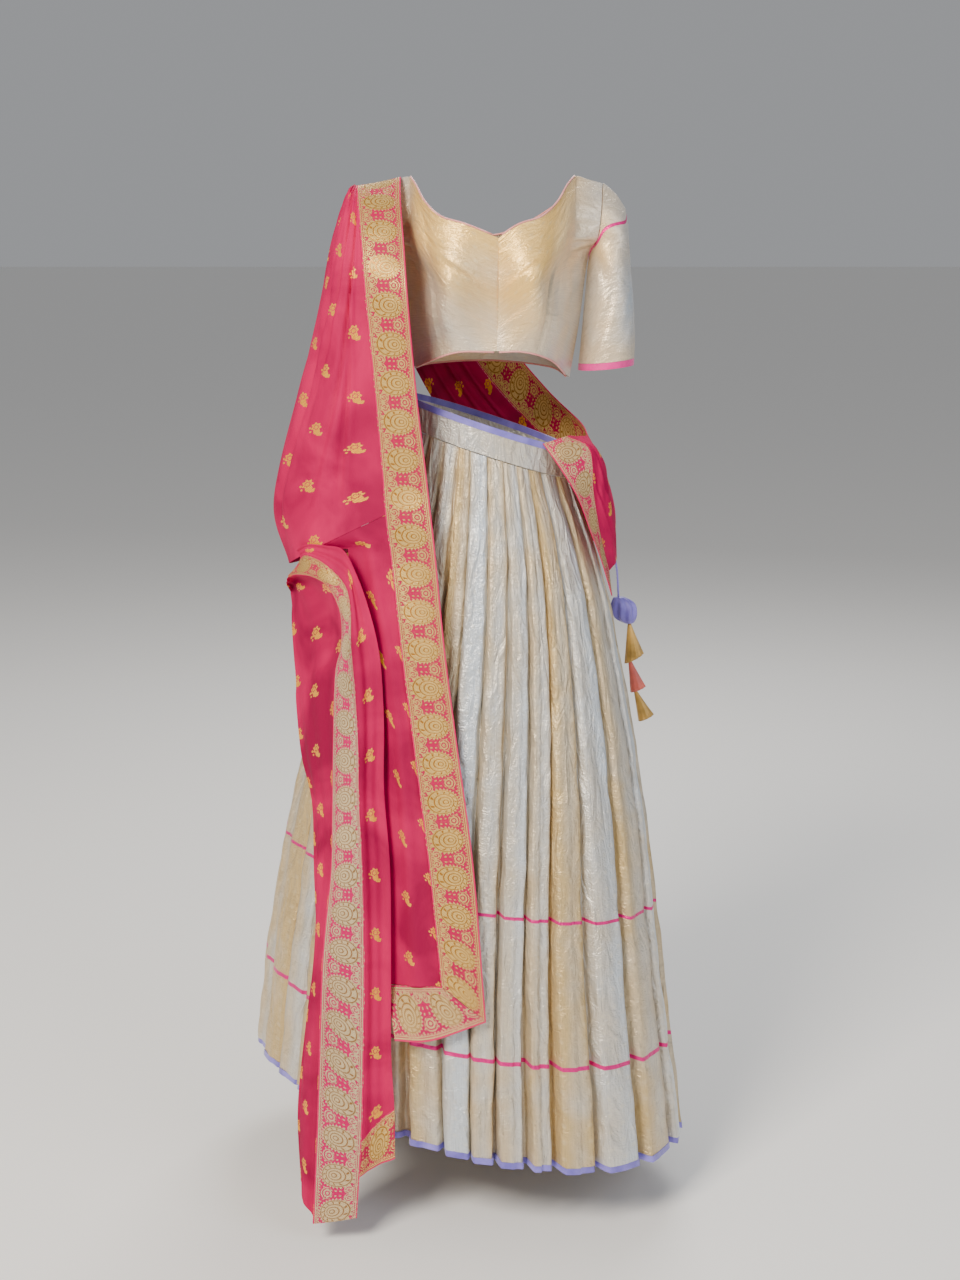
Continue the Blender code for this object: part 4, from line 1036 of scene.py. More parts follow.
def rippled(grid, deep, seed, waves):
    # Fine limp ripples of georgette along the fall, none at the side edges
    run, share = shares(*grid.shape[:2])
    wander = 0.12 * np.sin(run * 5.0 + seed) + 0.05 * np.sin(run * 13.0 + seed * 2)
    wave = np.sin(2 * math.pi * waves * (share + wander) + seed)
    wave = wave + 0.6 * np.sin(2 * math.pi * waves * 0.43 * (share - wander) + seed * 3)
    fade = np.sin(math.pi * share) ** 0.7 * (0.55 + 0.45 * np.sin(math.pi * run))
    normal = grid_normals(grid, False)
    return grid + normal * (deep * wave * fade)[:, :, None]


def border(name, grid, pale=None):
    # Embroidered border: u runs from its outer side, v along it
    node, wide, long, held, lies_on, flip, paleness = STOLE_BORDERS[name]
    down = np.linalg.norm(np.diff(grid, axis=0), axis=2).mean(1)
    v = np.concatenate(((0.0,), np.cumsum(down)))
    u, v = spread(grid, BORDER_WIDTH, v)
    if flip:
        u = BORDER_WIDTH - u
    tone = np.zeros(u.shape) + (paleness if pale is None else pale)
    piece = cloth(name, node, ZARI, grid, BORDER_WALL, False, (u, v), tone)


def georgette(name, grid):
    node, wide, long, held, lies_on, shift_u, shift_v, painted_light_share = STOLE_CLOTHS[name]
    u, v = spread(grid)
    u = u - u.mean() + shift_u
    v = v + shift_v
    # The pink is painted lighter or darker per piece, as painted light and painted shade
    tone = np.full(u.shape, painted_light_share)
    piece = cloth(name, node, GEORGETTE, grid, GEORGETTE_WALL, False, (u, v), tone)


def bowed(strip, wave):
    # A border that bows along its length, with its edges held
    run, share = shares(len(strip), BORDER_COLUMNS)
    return strip + grid_normals(strip, False) * wave(run, share)[:, :, None]


def front_bow(run, share):
    slow = 0.0022 * np.sin(math.pi * share) * np.sin(run * 19.0)
    return slow + 0.0012 * np.sin(run * 47.0) * share * (1 - share) * 4


def wrist_bow(run, share):
    return 0.0026 * np.sin(math.pi * share) * np.sin(run * 23.0 + 1.0)


def build_front():
    left = edge(FRONT_BORDER, 0, STOLE_ROWS)
    right = edge(FRONT_BORDER, 3, STOLE_ROWS)
    strip = bowed(across(left, right, BORDER_COLUMNS), front_bow)
    border("stole_front_zari", inset(strip, HALF_GAP, 0.0, 0.0, SEAM_GAP))
    plain = build_arm_drape(left[: WRIST_ROW + 1])
    below = left[WRIST_ROW:]
    count = STOLE_ROWS - WRIST_ROW
    tail = across(through(TAIL_LEFT, count), below, TAIL_COLUMNS, folds(count, TAIL_COLUMNS, *FOLDS["tail"]))
    tail = rippled(tail, *RIPPLES["tail"])
    # The tail starts at the drape's lower edge beside the border
    hem = through(plain[-1, 41::4], TAIL_COLUMNS)
    settle = np.clip(np.arange(len(tail)) / 10.0, 0.0, 1.0)[:, None, None]
    tail = tail + (hem[None] - tail[0]) * (1.0 - settle)
    tail[:, -1] = below
    georgette("stole_front_tail_cloth", inset(tail, 0.0, HALF_GAP, SEAM_GAP * 1.5))
    top_line = through((tail[-1, 0], (tail[-1, 0] + left[-1]) / 2, left[-1]), 41)
    low_line = through((END_CORNER, END_MIDDLE, right[-1]), 41)
    drop = np.array((0.0, 0.0, -2 * SEAM_GAP))
    border("stole_end_zari", across(low_line + drop, top_line + drop, BORDER_COLUMNS))
    return plain


def build_arm_drape(front):
    # Cloth from the border over the arm to its back edge
    count = len(front)
    arm = through(np.array(ARM_DRAPE), count)
    outer = arm[:, 3:6]
    behind = arm[:, 6:9]
    bulge = front * 0.42 + outer * 0.58
    bulge[:, 1] = np.where(front[:, 1] < 0.0, front[:, 1] * 0.80, bulge[:, 1])
    lean = np.clip(np.linspace(-1.0, 1.0, count), 0.0, 1.0)[:, None] ** 2
    bulge = bulge + np.array(WRIST_LEAN) * lean
    lines = np.stack((behind, outer, bulge, front), 1)
    drape = np.stack([through(line, DRAPE_COLUMNS) for line in lines], 0)
    drape[:, -1] = front
    plain = drape.copy()
    drape = rippled(creases(drape, DRAPE_CREASES), *RIPPLES["arm drape"])
    settle = np.clip((count - 1 - np.arange(count)) / 12.0, 0.0, 1.0)[:, None, None]
    drape = plain * (1.0 - settle) + drape * settle
    drape[:, 0], drape[:, -1] = plain[:, 0], plain[:, -1]
    georgette("stole_arm_drape_cloth", inset(drape, HALF_GAP, HALF_GAP))
    return plain


def hollowed(grid):
    # The cloth under the wrist sinks back where the hand comes out
    rows, columns = grid.shape[:2]
    run = np.linspace(0.0, 1.0, rows)[:, None]
    share = np.linspace(0.0, 1.0, columns)[None, :]
    fade = np.clip(1.0 - run / HAND_RUN, 0.0, 1.0) ** 0.6 * np.clip(run / 0.06, 0.0, 1.0)
    depth = HAND_HOLLOW * fade * np.sin(math.pi * (1.0 - share) / 1.5) ** 0.6
    sunk = grid.copy()
    sunk[:, :, 1] += depth
    return sunk


def build_fall():
    rows = STOLE_ROWS
    outer, left, right, roll = [edge(FALL_ROWS, first, rows) for first in (0, 3, 6, 9)]
    strip = bowed(across(left, right, BORDER_COLUMNS), wrist_bow)
    run = np.linspace(0.0, 1.0, rows)[:, None]
    pale = 0.7 * np.clip((run - 0.18) / 0.16, 0.0, 1.0)
    border("stole_wrist_zari", inset(strip, HALF_GAP, HALF_GAP), pale)
    wave = folds(rows, FALL_COLUMNS, *FOLDS["outer fall"])
    loose = rippled(hollowed(across(outer, left, FALL_COLUMNS, wave)), *RIPPLES["outer fall"])
    loose[:, -1] = left
    georgette("stole_outer_fall_cloth", inset(loose, 0.0, HALF_GAP + SEAM_GAP))
    # The roll ends above the border's own end
    low = ROLL_END_ROW
    held = right.copy()
    for row in range(low, rows):
        place = low + (row - low) * ROLL_END_SHARE
        step = min(int(place), rows - 2)
        held[row] = right[step] + (right[step + 1] - right[step]) * (place - step)
    middle = across(held, roll, FALL_COLUMNS, folds(rows, FALL_COLUMNS, *FOLDS["roll"]))
    middle = rippled(middle, *RIPPLES["roll"])
    middle[:, 0] = held
    georgette("stole_roll_cloth", inset(middle[: low + 1], HALF_GAP, 0.0, 0.0, HALF_GAP))
    border("stole_roll_end_zari", inset(middle[low:], HALF_GAP, 0.0, HALF_GAP).transpose(1, 0, 2)[::-1])


def build_back_fall(drape):
    # Layer that carries on from the drape's back edge and hangs behind the arm
    held = drape[48:, 0]
    held = held[::2] if len(held) % 2 else held[1::2]
    loose = through(np.vstack((held[-3], held[-1], np.array(BACK_FALL_LOW))), 41)[11:]
    left = np.vstack((held, loose))
    right = through(BACK_FALL_EDGE, len(left))
    wave = folds(len(left), BACK_FALL_COLUMNS, *FOLDS["back fall"])
    hang = rippled(across(left, right, BACK_FALL_COLUMNS, wave), *RIPPLES["back fall"])
    hang[:, 0] = left
    georgette("stole_back_fall_cloth", inset(hang, HALF_GAP))


def build_hip():
    side, right, left = [edge(HIP_ROWS, first, HIP_ROW_COUNT) for first in (0, 3, 6)]
    border("stole_hip_zari", inset(across(right, left, BORDER_COLUMNS), HIP_GAP))
    middle = (side + right) / 2
    middle[:, 0] += 0.006
    middle[:, 1] -= 0.010
    lines = np.stack([through(line, HIP_COLUMNS) for line in np.stack((side, middle, right), 1)], 0)
    lines = rippled(creases(lines, HIP_CREASES), *RIPPLES["hip"])
    lines[:, -1], lines[:, 0] = right, side
    georgette("stole_hip_drape_cloth", inset(lines, HALF_GAP, HIP_GAP))
    return side


def build_back(side):
    # Stretch across the back, which ends at the hip part's side edge
    rows = BACK_ROW_COUNT
    wide = across(edge(BACK_STRETCH, 0, rows), edge(BACK_STRETCH, 3, rows), DRAPE_COLUMNS)
    target = through(side, DRAPE_COLUMNS) + np.array((0.0, SEAM_GAP, 0.0))
    reach = 24
    last = wide[-1].copy()
    for k in range(reach):
        wide[-1 - k] += (target - last) * (1.0 - k / reach)
    shape = folds(rows, DRAPE_COLUMNS, *FOLDS["back"])[:, :, None] * grid_normals(wide, False)
    fade = np.sin(np.linspace(0, math.pi, rows - 12))[:, None, None] ** 0.3
    wide[6:-6, 30:-1] += shape[6:-6, 30:-1] * fade
    band = wide[:, : BACK_BORDER_COLUMN + 1]
    border("stole_back_zari", inset(band, 0.0, HALF_GAP, 0.0, HALF_GAP))
    stretch = wide[:, BACK_BORDER_COLUMN:]
    edge_line = stretch[:, 0].copy()
    ends = stretch[0].copy(), stretch[-1].copy()
    stretch = rippled(creases(stretch, BACK_FOLDS), *RIPPLES["back"])
    stretch[:, 0] = edge_line
    stretch[0], stretch[-1] = ends
    georgette("stole_back_cloth", inset(stretch, HALF_GAP, 0.0, 0.0, HALF_GAP))


def spun(name, node, material, rings, sides, pucker=0.0, gathers=9):
    # Closed body through rings with soft gathers round it
    bm = bmesh.new()
    loops = []
    last = len(rings) - 1
    for number, ((x, y, z), reach, deep, slope, ruffle) in enumerate(rings):
        made = bmesh.ops.create_circle(bm, cap_ends=number in (0, last), segments=sides, radius=1.0)
        for vertex in made["verts"]:
            turn = math.atan2(vertex.co.y, vertex.co.x)
            swell = 1.0 + pucker * ruffle * math.sin(gathers * turn + number * 0.35)
            side = reach * math.cos(turn) * swell
            vertex.co = Vector((x + side, y + deep * math.sin(turn) * swell, z + slope * side))
        loops.append(ring_edges(made))
    return closed_body(name, node, bm, loops, material)


def build_tie():
    path = through(TIE_CORD, 41)
    cord = twisted_cord("tie_cord_rope", "tie_cord", path, 0.0016)
    puff = []
    for share, place in zip(np.linspace(0.0, 1.0, 25), through(PUFF_PLACES, 25)):
        swell = math.sin(math.pi * (0.06 + 0.90 * share)) ** 0.7
        wide = 0.0035 + 0.0138 * swell
        deep = 0.0030 + 0.0100 * swell
        puff.append((tuple(place), wide, deep, 0.25 * swell, swell))
    puff_piece = spun("tie_puff_cloth", "tie_puff", LAVENDER, puff, 72, 0.13, 8)
    stem = None
    for name, material, top_x, top_z, left_x, left_z, right_x, right_z in CONES:
        middle = ((left_x + right_x) / 2, (left_z + right_z) / 2)
        half = (right_x - left_x) / 2
        slope = (right_z - left_z) / (right_x - left_x)
        rings = []
        if stem is not None:
            for share in (0.0, 0.5, 0.92):
                x = stem[0] + (top_x - stem[0]) * share
                z = stem[1] + (top_z - stem[1]) * share
                rings.append(((x, TIE_Y, z), 0.0012, 0.0012, 0.0, 0.0))
        profile = [(s, 0.16 + 0.84 * s ** 0.9) for s in np.linspace(0.0, 1.0, 13)]
        profile += [(0.988, 0.93), (0.80, 0.76), (0.60, 0.56), (0.40, 0.34), (0.27, 0.17)]
        for share, shrink in profile:
            x = top_x + (middle[0] - top_x) * share
            z = top_z + (middle[1] - top_z) * share
            rings.append(((x, TIE_Y, z), half * shrink, half * shrink * 0.9, slope * share, share))
        finish = SALMON if material == "salmon_silk" else GOLD
        spun(name + "_cloth", name, finish, rings, 64, 0.045, 11)
        stem = (top_x + (middle[0] - top_x) * 0.25, top_z + (middle[1] - top_z) * 0.25 - 0.0008)


def twisted_cord(name, node, path, radius):
    # Two-ply cord: its round section has a groove that turns along it
    bm = bmesh.new()
    side = np.cross(unit(np.gradient(path, axis=0))[0], (0.0, 1.0, 0.0))
    loops = []
    dense = through(path, len(path) * 3)
    tangent = unit(np.gradient(dense, axis=0))
    for k, place in enumerate(dense):
        side, up = steady(side, tangent[k])
        ends = k in (0, len(dense) - 1)
        made = bmesh.ops.create_circle(bm, cap_ends=ends, segments=12, radius=1.0)
        for vertex in made["verts"]:
            turn = math.atan2(vertex.co.y, vertex.co.x)
            swell = radius * (0.86 + 0.14 * abs(math.cos(turn - k * 0.42)))
            vertex.co = Vector(place + swell * (math.cos(turn) * side + math.sin(turn) * up))
        loops.append(ring_edges(made))
    return closed_body(name, node, bm, loops, CORD, False)


def new_material(name):
    made = bpy.data.materials.new(name)
    made.use_nodes = True
    tree = made.node_tree
    return made, tree, tree.nodes["Principled BSDF"]


def cloth_lengths(tree):
    # Real metres across and down the cloth from its own UV map
    uv = add(tree, "ShaderNodeUVMap", uv_map="cloth")
    u = add(tree, "ShaderNodeSeparateXYZ", (uv,), "X")
    v = add(tree, "ShaderNodeSeparateXYZ", (uv,), "Y")
    return uv, u, v


def weave_bump(tree, shader, uv, thread, strength, wrinkle, deep=0.0012):
    # Thread grid and slow wrinkles together in the surface's own relief
    grid = add(tree, "ShaderNodeMapping", {0: uv, 3: (1 / thread, 1 / thread, 1.0)})
    checker = add(tree, "ShaderNodeTexChecker", {0: grid, 3: 1.0}, "Fac")
    place = add(tree, "ShaderNodeTexCoord", out="Object")
    slow = add(
        tree, "ShaderNodeTexNoise", {"Vector": place, "Scale": wrinkle, "Detail": 4.0, "Distortion": 0.6}, "Fac"
    )
    fine = add(tree, "ShaderNodeBump", {"Strength": strength, "Distance": 0.0002, "Height": checker})
    both = add(
        tree, "ShaderNodeBump", {"Strength": 0.45, "Distance": deep, "Height": slow, "Normal": fine}
    )
    feed(tree, shader, {"Normal": both})


def near(tree, value, middle, half, soft):
    # 1 where value is within half of middle, with a soft edge
    away = add(tree, "ShaderNodeMath", (value, middle), operation="SUBTRACT")
    away = add(tree, "ShaderNodeMath", (away,), operation="ABSOLUTE")
    return add(tree, "ShaderNodeMapRange", (away, half - soft, half + soft, 1.0, 0.0))


def under(tree, value, limit, soft):
    # 1 where value is under the limit
    return add(tree, "ShaderNodeMapRange", (value, limit - soft, limit + soft, 1.0, 0.0))


def tissue_silk(name, crush, gold, metallic, grain, crush_grain):
    # Tissue silk, gold and silver metal thread woven with silk, with a soft satin sheen; its tone
    # mixes gold and silver in random patches, with painted reflection and painted highlight set per piece
    made, tree, shader = new_material(name)
    uv, u, v = cloth_lengths(tree)
    place = add(tree, "ShaderNodeTexCoord", out="Object")
    patch_noise = add(
        tree, "ShaderNodeTexNoise", {"Vector": place, "Scale": 7.0, "Detail": 2.0, "Distortion": 1.1}, "Fac"
    )
    tone = add(tree, "ShaderNodeAttribute", out="Fac", attribute_name="tone")
    wide = add(tree, "ShaderNodeMath", (patch_noise, 0.90, -0.45), operation="MULTIPLY_ADD")
    share = add(tree, "ShaderNodeMath", (tone, wide), operation="ADD", use_clamp=True)
    colour = add(
        tree, "ShaderNodeMix", {0: share, 6: linear(SILVER_SILK), 7: linear(gold)}, 2, data_type="RGBA"
    )
    streak_place = add(tree, "ShaderNodeMapping", {0: uv, 3: (*grain, 1.0)})
    streak = add(tree, "ShaderNodeTexNoise", {"Vector": streak_place, "Scale": 1.0, "Detail": 3.0}, "Fac")
    dim = add(tree, "ShaderNodeMath", (streak, 0.50, 0.72), operation="MULTIPLY_ADD")
    colour = add(tree, "ShaderNodeVectorMath", (colour, dim), operation="MULTIPLY")
    # Faint jacquard buds on a half-drop grid
    x, y = cell(tree, u, v, JACQUARD_WIDE, JACQUARD_TALL)
    bud = disc(tree, x, y, 0.0, 0.0, JACQUARD_BUD, 0.0012)
    faint = add(tree, "ShaderNodeMath", (bud, 0.16), operation="MULTIPLY")
    colour = add(
        tree, "ShaderNodeMix", {0: faint, 6: colour, 7: linear(JACQUARD_LIGHT)}, 2, data_type="RGBA"
    )
    upper = near(tree, v, STRIPE_UPPER, STRIPE_HALF, 0.0004)
    lower = near(tree, v, STRIPE_LOWER, STRIPE_HALF * 1.3, 0.0004)
    stripe = add(tree, "ShaderNodeMath", (upper, lower), operation="MAXIMUM")
    colour = add(
        tree, "ShaderNodeMix", {0: stripe, 6: colour, 7: linear(STRIPE_PINK)}, 2, data_type="RGBA"
    )
    rough = add(tree, "ShaderNodeMath", (streak, 0.16, 0.27), operation="MULTIPLY_ADD")
    feed(tree, shader, {"Base Color": colour, "Roughness": rough, "Metallic": metallic})
    feed(tree, shader, {"Anisotropic": 0.45, "Sheen Weight": 0.10})
    # Crushed silk: short wrinkles over longer ones that run down the cloth
    place = add(tree, "ShaderNodeMapping", {0: uv, 3: (*crush_grain, 1.0)})
    long = add(
        tree, "ShaderNodeTexNoise", {"Vector": place, "Scale": 1.0, "Detail": 4.0, "Distortion": 1.4}, "Fac"
    )
    place = add(tree, "ShaderNodeMapping", {0: uv, 3: (95.0, 120.0, 1.0)})
    short = add(
        tree, "ShaderNodeTexNoise", {"Vector": place, "Scale": 1.0, "Detail": 3.0, "Distortion": 2.2}, "Fac"
    )
    grid = add(tree, "ShaderNodeMapping", {0: uv, 3: (1 / 0.0011, 1 / 0.0011, 1.0)})
    thread = add(tree, "ShaderNodeTexChecker", {0: grid, 3: 1.0}, "Fac")
    first = add(tree, "ShaderNodeBump", {"Strength": 0.3, "Distance": 0.0002, "Height": thread})
    second = add(
        tree, "ShaderNodeBump", {"Strength": 0.6 * crush, "Distance": 0.0016, "Height": short, "Normal": first}
    )
    third = add(
        tree, "ShaderNodeBump", {"Strength": 0.8 * crush, "Distance": 0.0055, "Height": long, "Normal": second}
    )
    feed(tree, shader, {"Normal": third})
    return made


def cell(tree, u, v, wide, tall):
    # Place inside one repeat of a half-drop grid, from its middle
    row = add(tree, "ShaderNodeMath", (v, tall), operation="DIVIDE")
    number = add(tree, "ShaderNodeMath", (row,), operation="FLOOR")
    odd = add(tree, "ShaderNodeMath", (number, 2.0), operation="FLOORED_MODULO")
    column = add(tree, "ShaderNodeMath", (u, wide), operation="DIVIDE")
    moved = add(tree, "ShaderNodeMath", (odd, 0.5, column), operation="MULTIPLY_ADD")
    x = add(tree, "ShaderNodeMath", (moved,), operation="FRACT")
    x = add(tree, "ShaderNodeMath", (x, wide, -0.5 * wide), operation="MULTIPLY_ADD")
    y = add(tree, "ShaderNodeMath", (row,), operation="FRACT")
    y = add(tree, "ShaderNodeMath", (y, tall, -0.5 * tall), operation="MULTIPLY_ADD")
    return x, y


def highest(tree, marks):
    total = marks[0]
    for mark in marks[1:]:
        total = add(tree, "ShaderNodeMath", (total, mark), operation="MAXIMUM")
    return total


def buti(tree, u, v):
    # Small flower: a head of petals with a ring round its heart, and a tail that curls over it
    x, y = cell(tree, u, v, BUTI_WIDE, BUTI_TALL)
    middle_x, middle_y, size = BUTI_HEAD
    reach, turn = polar(tree, x, y, middle_x, middle_y)
    petals = add(tree, "ShaderNodeMath", (turn, 7.0), operation="MULTIPLY")
    petals = add(tree, "ShaderNodeMath", (petals,), operation="COSINE")
    rim = add(tree, "ShaderNodeMath", (petals, size * 0.14, size * 0.86), operation="MULTIPLY_ADD")
    share = add(tree, "ShaderNodeMath", (reach, rim), operation="DIVIDE")
    head = under(tree, share, 1.0, 0.04)
    ring = near(tree, share, 0.50, 0.09, 0.04)
    body = highest(tree, [head] + [disc(tree, x, y, *place) for place in BUTI_BODY])
    return add(tree, "ShaderNodeMath", (body, ring), operation="SUBTRACT", use_clamp=True)


def georgette_cloth():
    # Silk georgette: crepe of fine twisted thread, matt and a little see-through,
    # with small flowers woven in gold
    made, tree, shader = new_material("georgette_crepe")
    uv, u, v = cloth_lengths(tree)
    place = add(tree, "ShaderNodeTexCoord", out="Object")
    slow = add(
        tree, "ShaderNodeTexNoise", {"Vector": place, "Scale": 9.0, "Detail": 3.0, "Distortion": 0.8}, "Fac"
    )
    slow = add(tree, "ShaderNodeMapRange", (slow, 0.35, 0.65, 0.0, 1.0))
    # Painted shade: each piece's tone is its share of lit pink, lower on pieces in shade; slow noise varies it at
    # random
    depth = add(tree, "ShaderNodeAttribute", out="Fac", attribute_name="tone")
    share = add(tree, "ShaderNodeMath", (slow, 0.5, -0.25), operation="MULTIPLY_ADD")
    share = add(tree, "ShaderNodeMath", (share, depth), operation="ADD", use_clamp=True)
    colour = add(
        tree, "ShaderNodeMix", {0: share, 6: linear(GEORGETTE_SHADED), 7: linear(GEORGETTE_LIT)}, 2, data_type="RGBA"
    )
    leaf = buti(tree, u, v)
    stitch = stitches(tree, uv)
    # Painted sheen on the flowers' gold stitches
    gold = add(
        tree, "ShaderNodeMix", {0: stitch, 6: linear(BUTI_SHADED_GOLD), 7: linear(BUTI_LIT_GOLD)}, 2, data_type="RGBA"
    )
    colour = add(tree, "ShaderNodeMix", {0: leaf, 6: colour, 7: gold}, 2, data_type="RGBA")
    rough = add(tree, "ShaderNodeMath", (leaf, -0.30, 0.68), operation="MULTIPLY_ADD")
    metal = add(tree, "ShaderNodeMath", (leaf, 0.30), operation="MULTIPLY")
    sheer = add(
        tree, "ShaderNodeMath", (leaf, 1.0 - GEORGETTE_COVER, GEORGETTE_COVER), operation="MULTIPLY_ADD"
    )
    feed(tree, shader, {"Base Color": colour, "Roughness": rough, "Metallic": metal})
    feed(tree, shader, {"Alpha": sheer, "Specular IOR Level": 0.15})
    weave_bump(tree, shader, uv, 0.0012, 0.40, 60.0, 0.0008)
    return made


def zari_cloth():
    # Zari embroidery: gold wrapped thread couched on pink silk, raised in satin stitch,
    # with twisted gold cords along both edges
    made, tree, shader = new_material("zari_embroidery")
    uv, u, v = cloth_lengths(tree)
    repeat = add(tree, "ShaderNodeMath", (v, ZARI_REPEAT), operation="DIVIDE")
    repeat = add(tree, "ShaderNodeMath", (repeat,), operation="FRACT")
    along = add(
        tree, "ShaderNodeMath", (repeat, ZARI_REPEAT, -0.5 * ZARI_REPEAT), operation="MULTIPLY_ADD"
    )
    head, lines = medallion(tree, u, along, FLOWER_U, 0.0, FLOWER_REACH)
    marks = [head]
    for side in (-1.0, 1.0):
        marks.append(scroll(tree, u, along, SCROLL_U, side * SCROLL_V, SCROLL_REACH, side))
        marks.append(scroll(tree, u, along, SPRIG_U, side * ZARI_REPEAT * 0.5, SPRIG_REACH, -side))
        marks.append(disc(tree, u, along, SCROLL_U + 0.002, side * ZARI_REPEAT * 0.5, 0.0030))
    marks.append(disc(tree, u, along, SCROLL_U - 0.001, 0.0, 0.0034))
    for place, half in EDGE_CORDS:
        marks.append(near(tree, u, place, half, 0.0003))
    # Row of picots inside each pair of edge cords
    picot = add(tree, "ShaderNodeMath", (v, 2 * math.pi / PICOT), operation="MULTIPLY")
    picot = add(tree, "ShaderNodeMath", (picot,), operation="SINE")
    picot = add(tree, "ShaderNodeMath", (picot, 3.0, 0.8), operation="MULTIPLY_ADD", use_clamp=True)
    for place in PICOT_LINES:
        line = near(tree, u, place, 0.0009, 0.0003)
        marks.append(add(tree, "ShaderNodeMath", (line, picot), operation="MULTIPLY"))
    total = highest(tree, marks)
    stitch = stitches(tree, uv)
    drawn = add(tree, "ShaderNodeMath", (lines, -1.0, 1.0), operation="MULTIPLY_ADD")
    stitch = add(tree, "ShaderNodeMath", (stitch, drawn), operation="MULTIPLY")
    # Part of the border is worked in paler, silvery thread
    pale = add(tree, "ShaderNodeAttribute", out="Fac", attribute_name="tone")
    deep = add(
        tree, "ShaderNodeMix", {0: pale, 6: linear(ZARI_SHADE_AND_LINES), 7: linear(PALE_ZARI_SHADE_AND_LINES)}, 2, data_type="RGBA"
    )
    lit = add(
        tree, "ShaderNodeMix", {0: pale, 6: linear(ZARI_LIT), 7: linear(PALE_ZARI_LIT)}, 2, data_type="RGBA"
    )
    # Painted sheen: the stitches mix lit and shaded gold; the shaded gold also draws the motif's dark lines
    gold = add(tree, "ShaderNodeMix", {0: stitch, 6: deep, 7: lit}, 2, data_type="RGBA")
    rims = near(tree, u, 0.0009, 0.0009, 0.0003)
    far = near(tree, u, BORDER_WIDTH - 0.0009, 0.0009, 0.0003)
    rim = add(tree, "ShaderNodeMath", (rims, far), operation="MAXIMUM")
    silk = add(
        tree, "ShaderNodeMix", {0: pale, 6: linear(BORDER_PINK), 7: linear(PALE_BORDER_PINK)}, 2, data_type="RGBA"
    )
    ground = add(tree, "ShaderNodeMix", {0: rim, 6: silk, 7: linear(BORDER_EDGE)}, 2, data_type="RGBA")
    place = add(tree, "ShaderNodeTexCoord", out="Object")
    speck = add(tree, "ShaderNodeTexNoise", {"Vector": place, "Scale": 420.0, "Detail": 1.0}, "Fac")
    speck = add(tree, "ShaderNodeMapRange", (speck, 0.56, 0.68, 0.0, 0.06))
    ground = add(tree, "ShaderNodeMix", {0: speck, 6: ground, 7: lit}, 2, data_type="RGBA")
    colour = add(tree, "ShaderNodeMix", {0: total, 6: ground, 7: gold}, 2, data_type="RGBA")
    metal = add(tree, "ShaderNodeMath", (total, 0.40), operation="MULTIPLY")
    rough = add(tree, "ShaderNodeMath", (total, -0.28, 0.62), operation="MULTIPLY_ADD")
    feed(tree, shader, {"Base Color": colour, "Roughness": rough, "Metallic": metal})
    height = add(tree, "ShaderNodeMath", (stitch, 0.3, 0.7), operation="MULTIPLY_ADD")
    height = add(tree, "ShaderNodeMath", (height, total), operation="MULTIPLY")
    relief = add(tree, "ShaderNodeBump", {"Strength": 0.9, "Distance": 0.0008, "Height": height})
    feed(tree, shader, {"Normal": relief, "Specular IOR Level": 0.15})
    return made


def polar(tree, u, along, middle_u, middle_v):
    x = add(tree, "ShaderNodeMath", (u, middle_u), operation="SUBTRACT")
    y = add(tree, "ShaderNodeMath", (along, middle_v), operation="SUBTRACT")
    x2 = add(tree, "ShaderNodeMath", (x, x), operation="MULTIPLY")
    reach = add(tree, "ShaderNodeMath", (y, y, x2), operation="MULTIPLY_ADD")
    reach = add(tree, "ShaderNodeMath", (reach,), operation="SQRT")
    turn = add(tree, "ShaderNodeMath", (y, x), operation="ARCTAN2")
    return reach, turn


def disc(tree, u, along, middle_u, middle_v, size, soft=0.0003):
    reach = polar(tree, u, along, middle_u, middle_v)[0]
    return under(tree, reach, size, soft)


def stitches(tree, uv):
    # Slanting satin stitches, lit and shaded by turns as painted sheen
    place = add(tree, "ShaderNodeMapping", {0: uv, 2: (0.0, 0.0, 0.5), 3: (1250.0, 1250.0, 1.0)})
    wave = {"Vector": place, "Scale": 0.17, "Distortion": 2.4, "Detail": 2.0}
    return add(tree, "ShaderNodeTexWave", wave, "Fac")


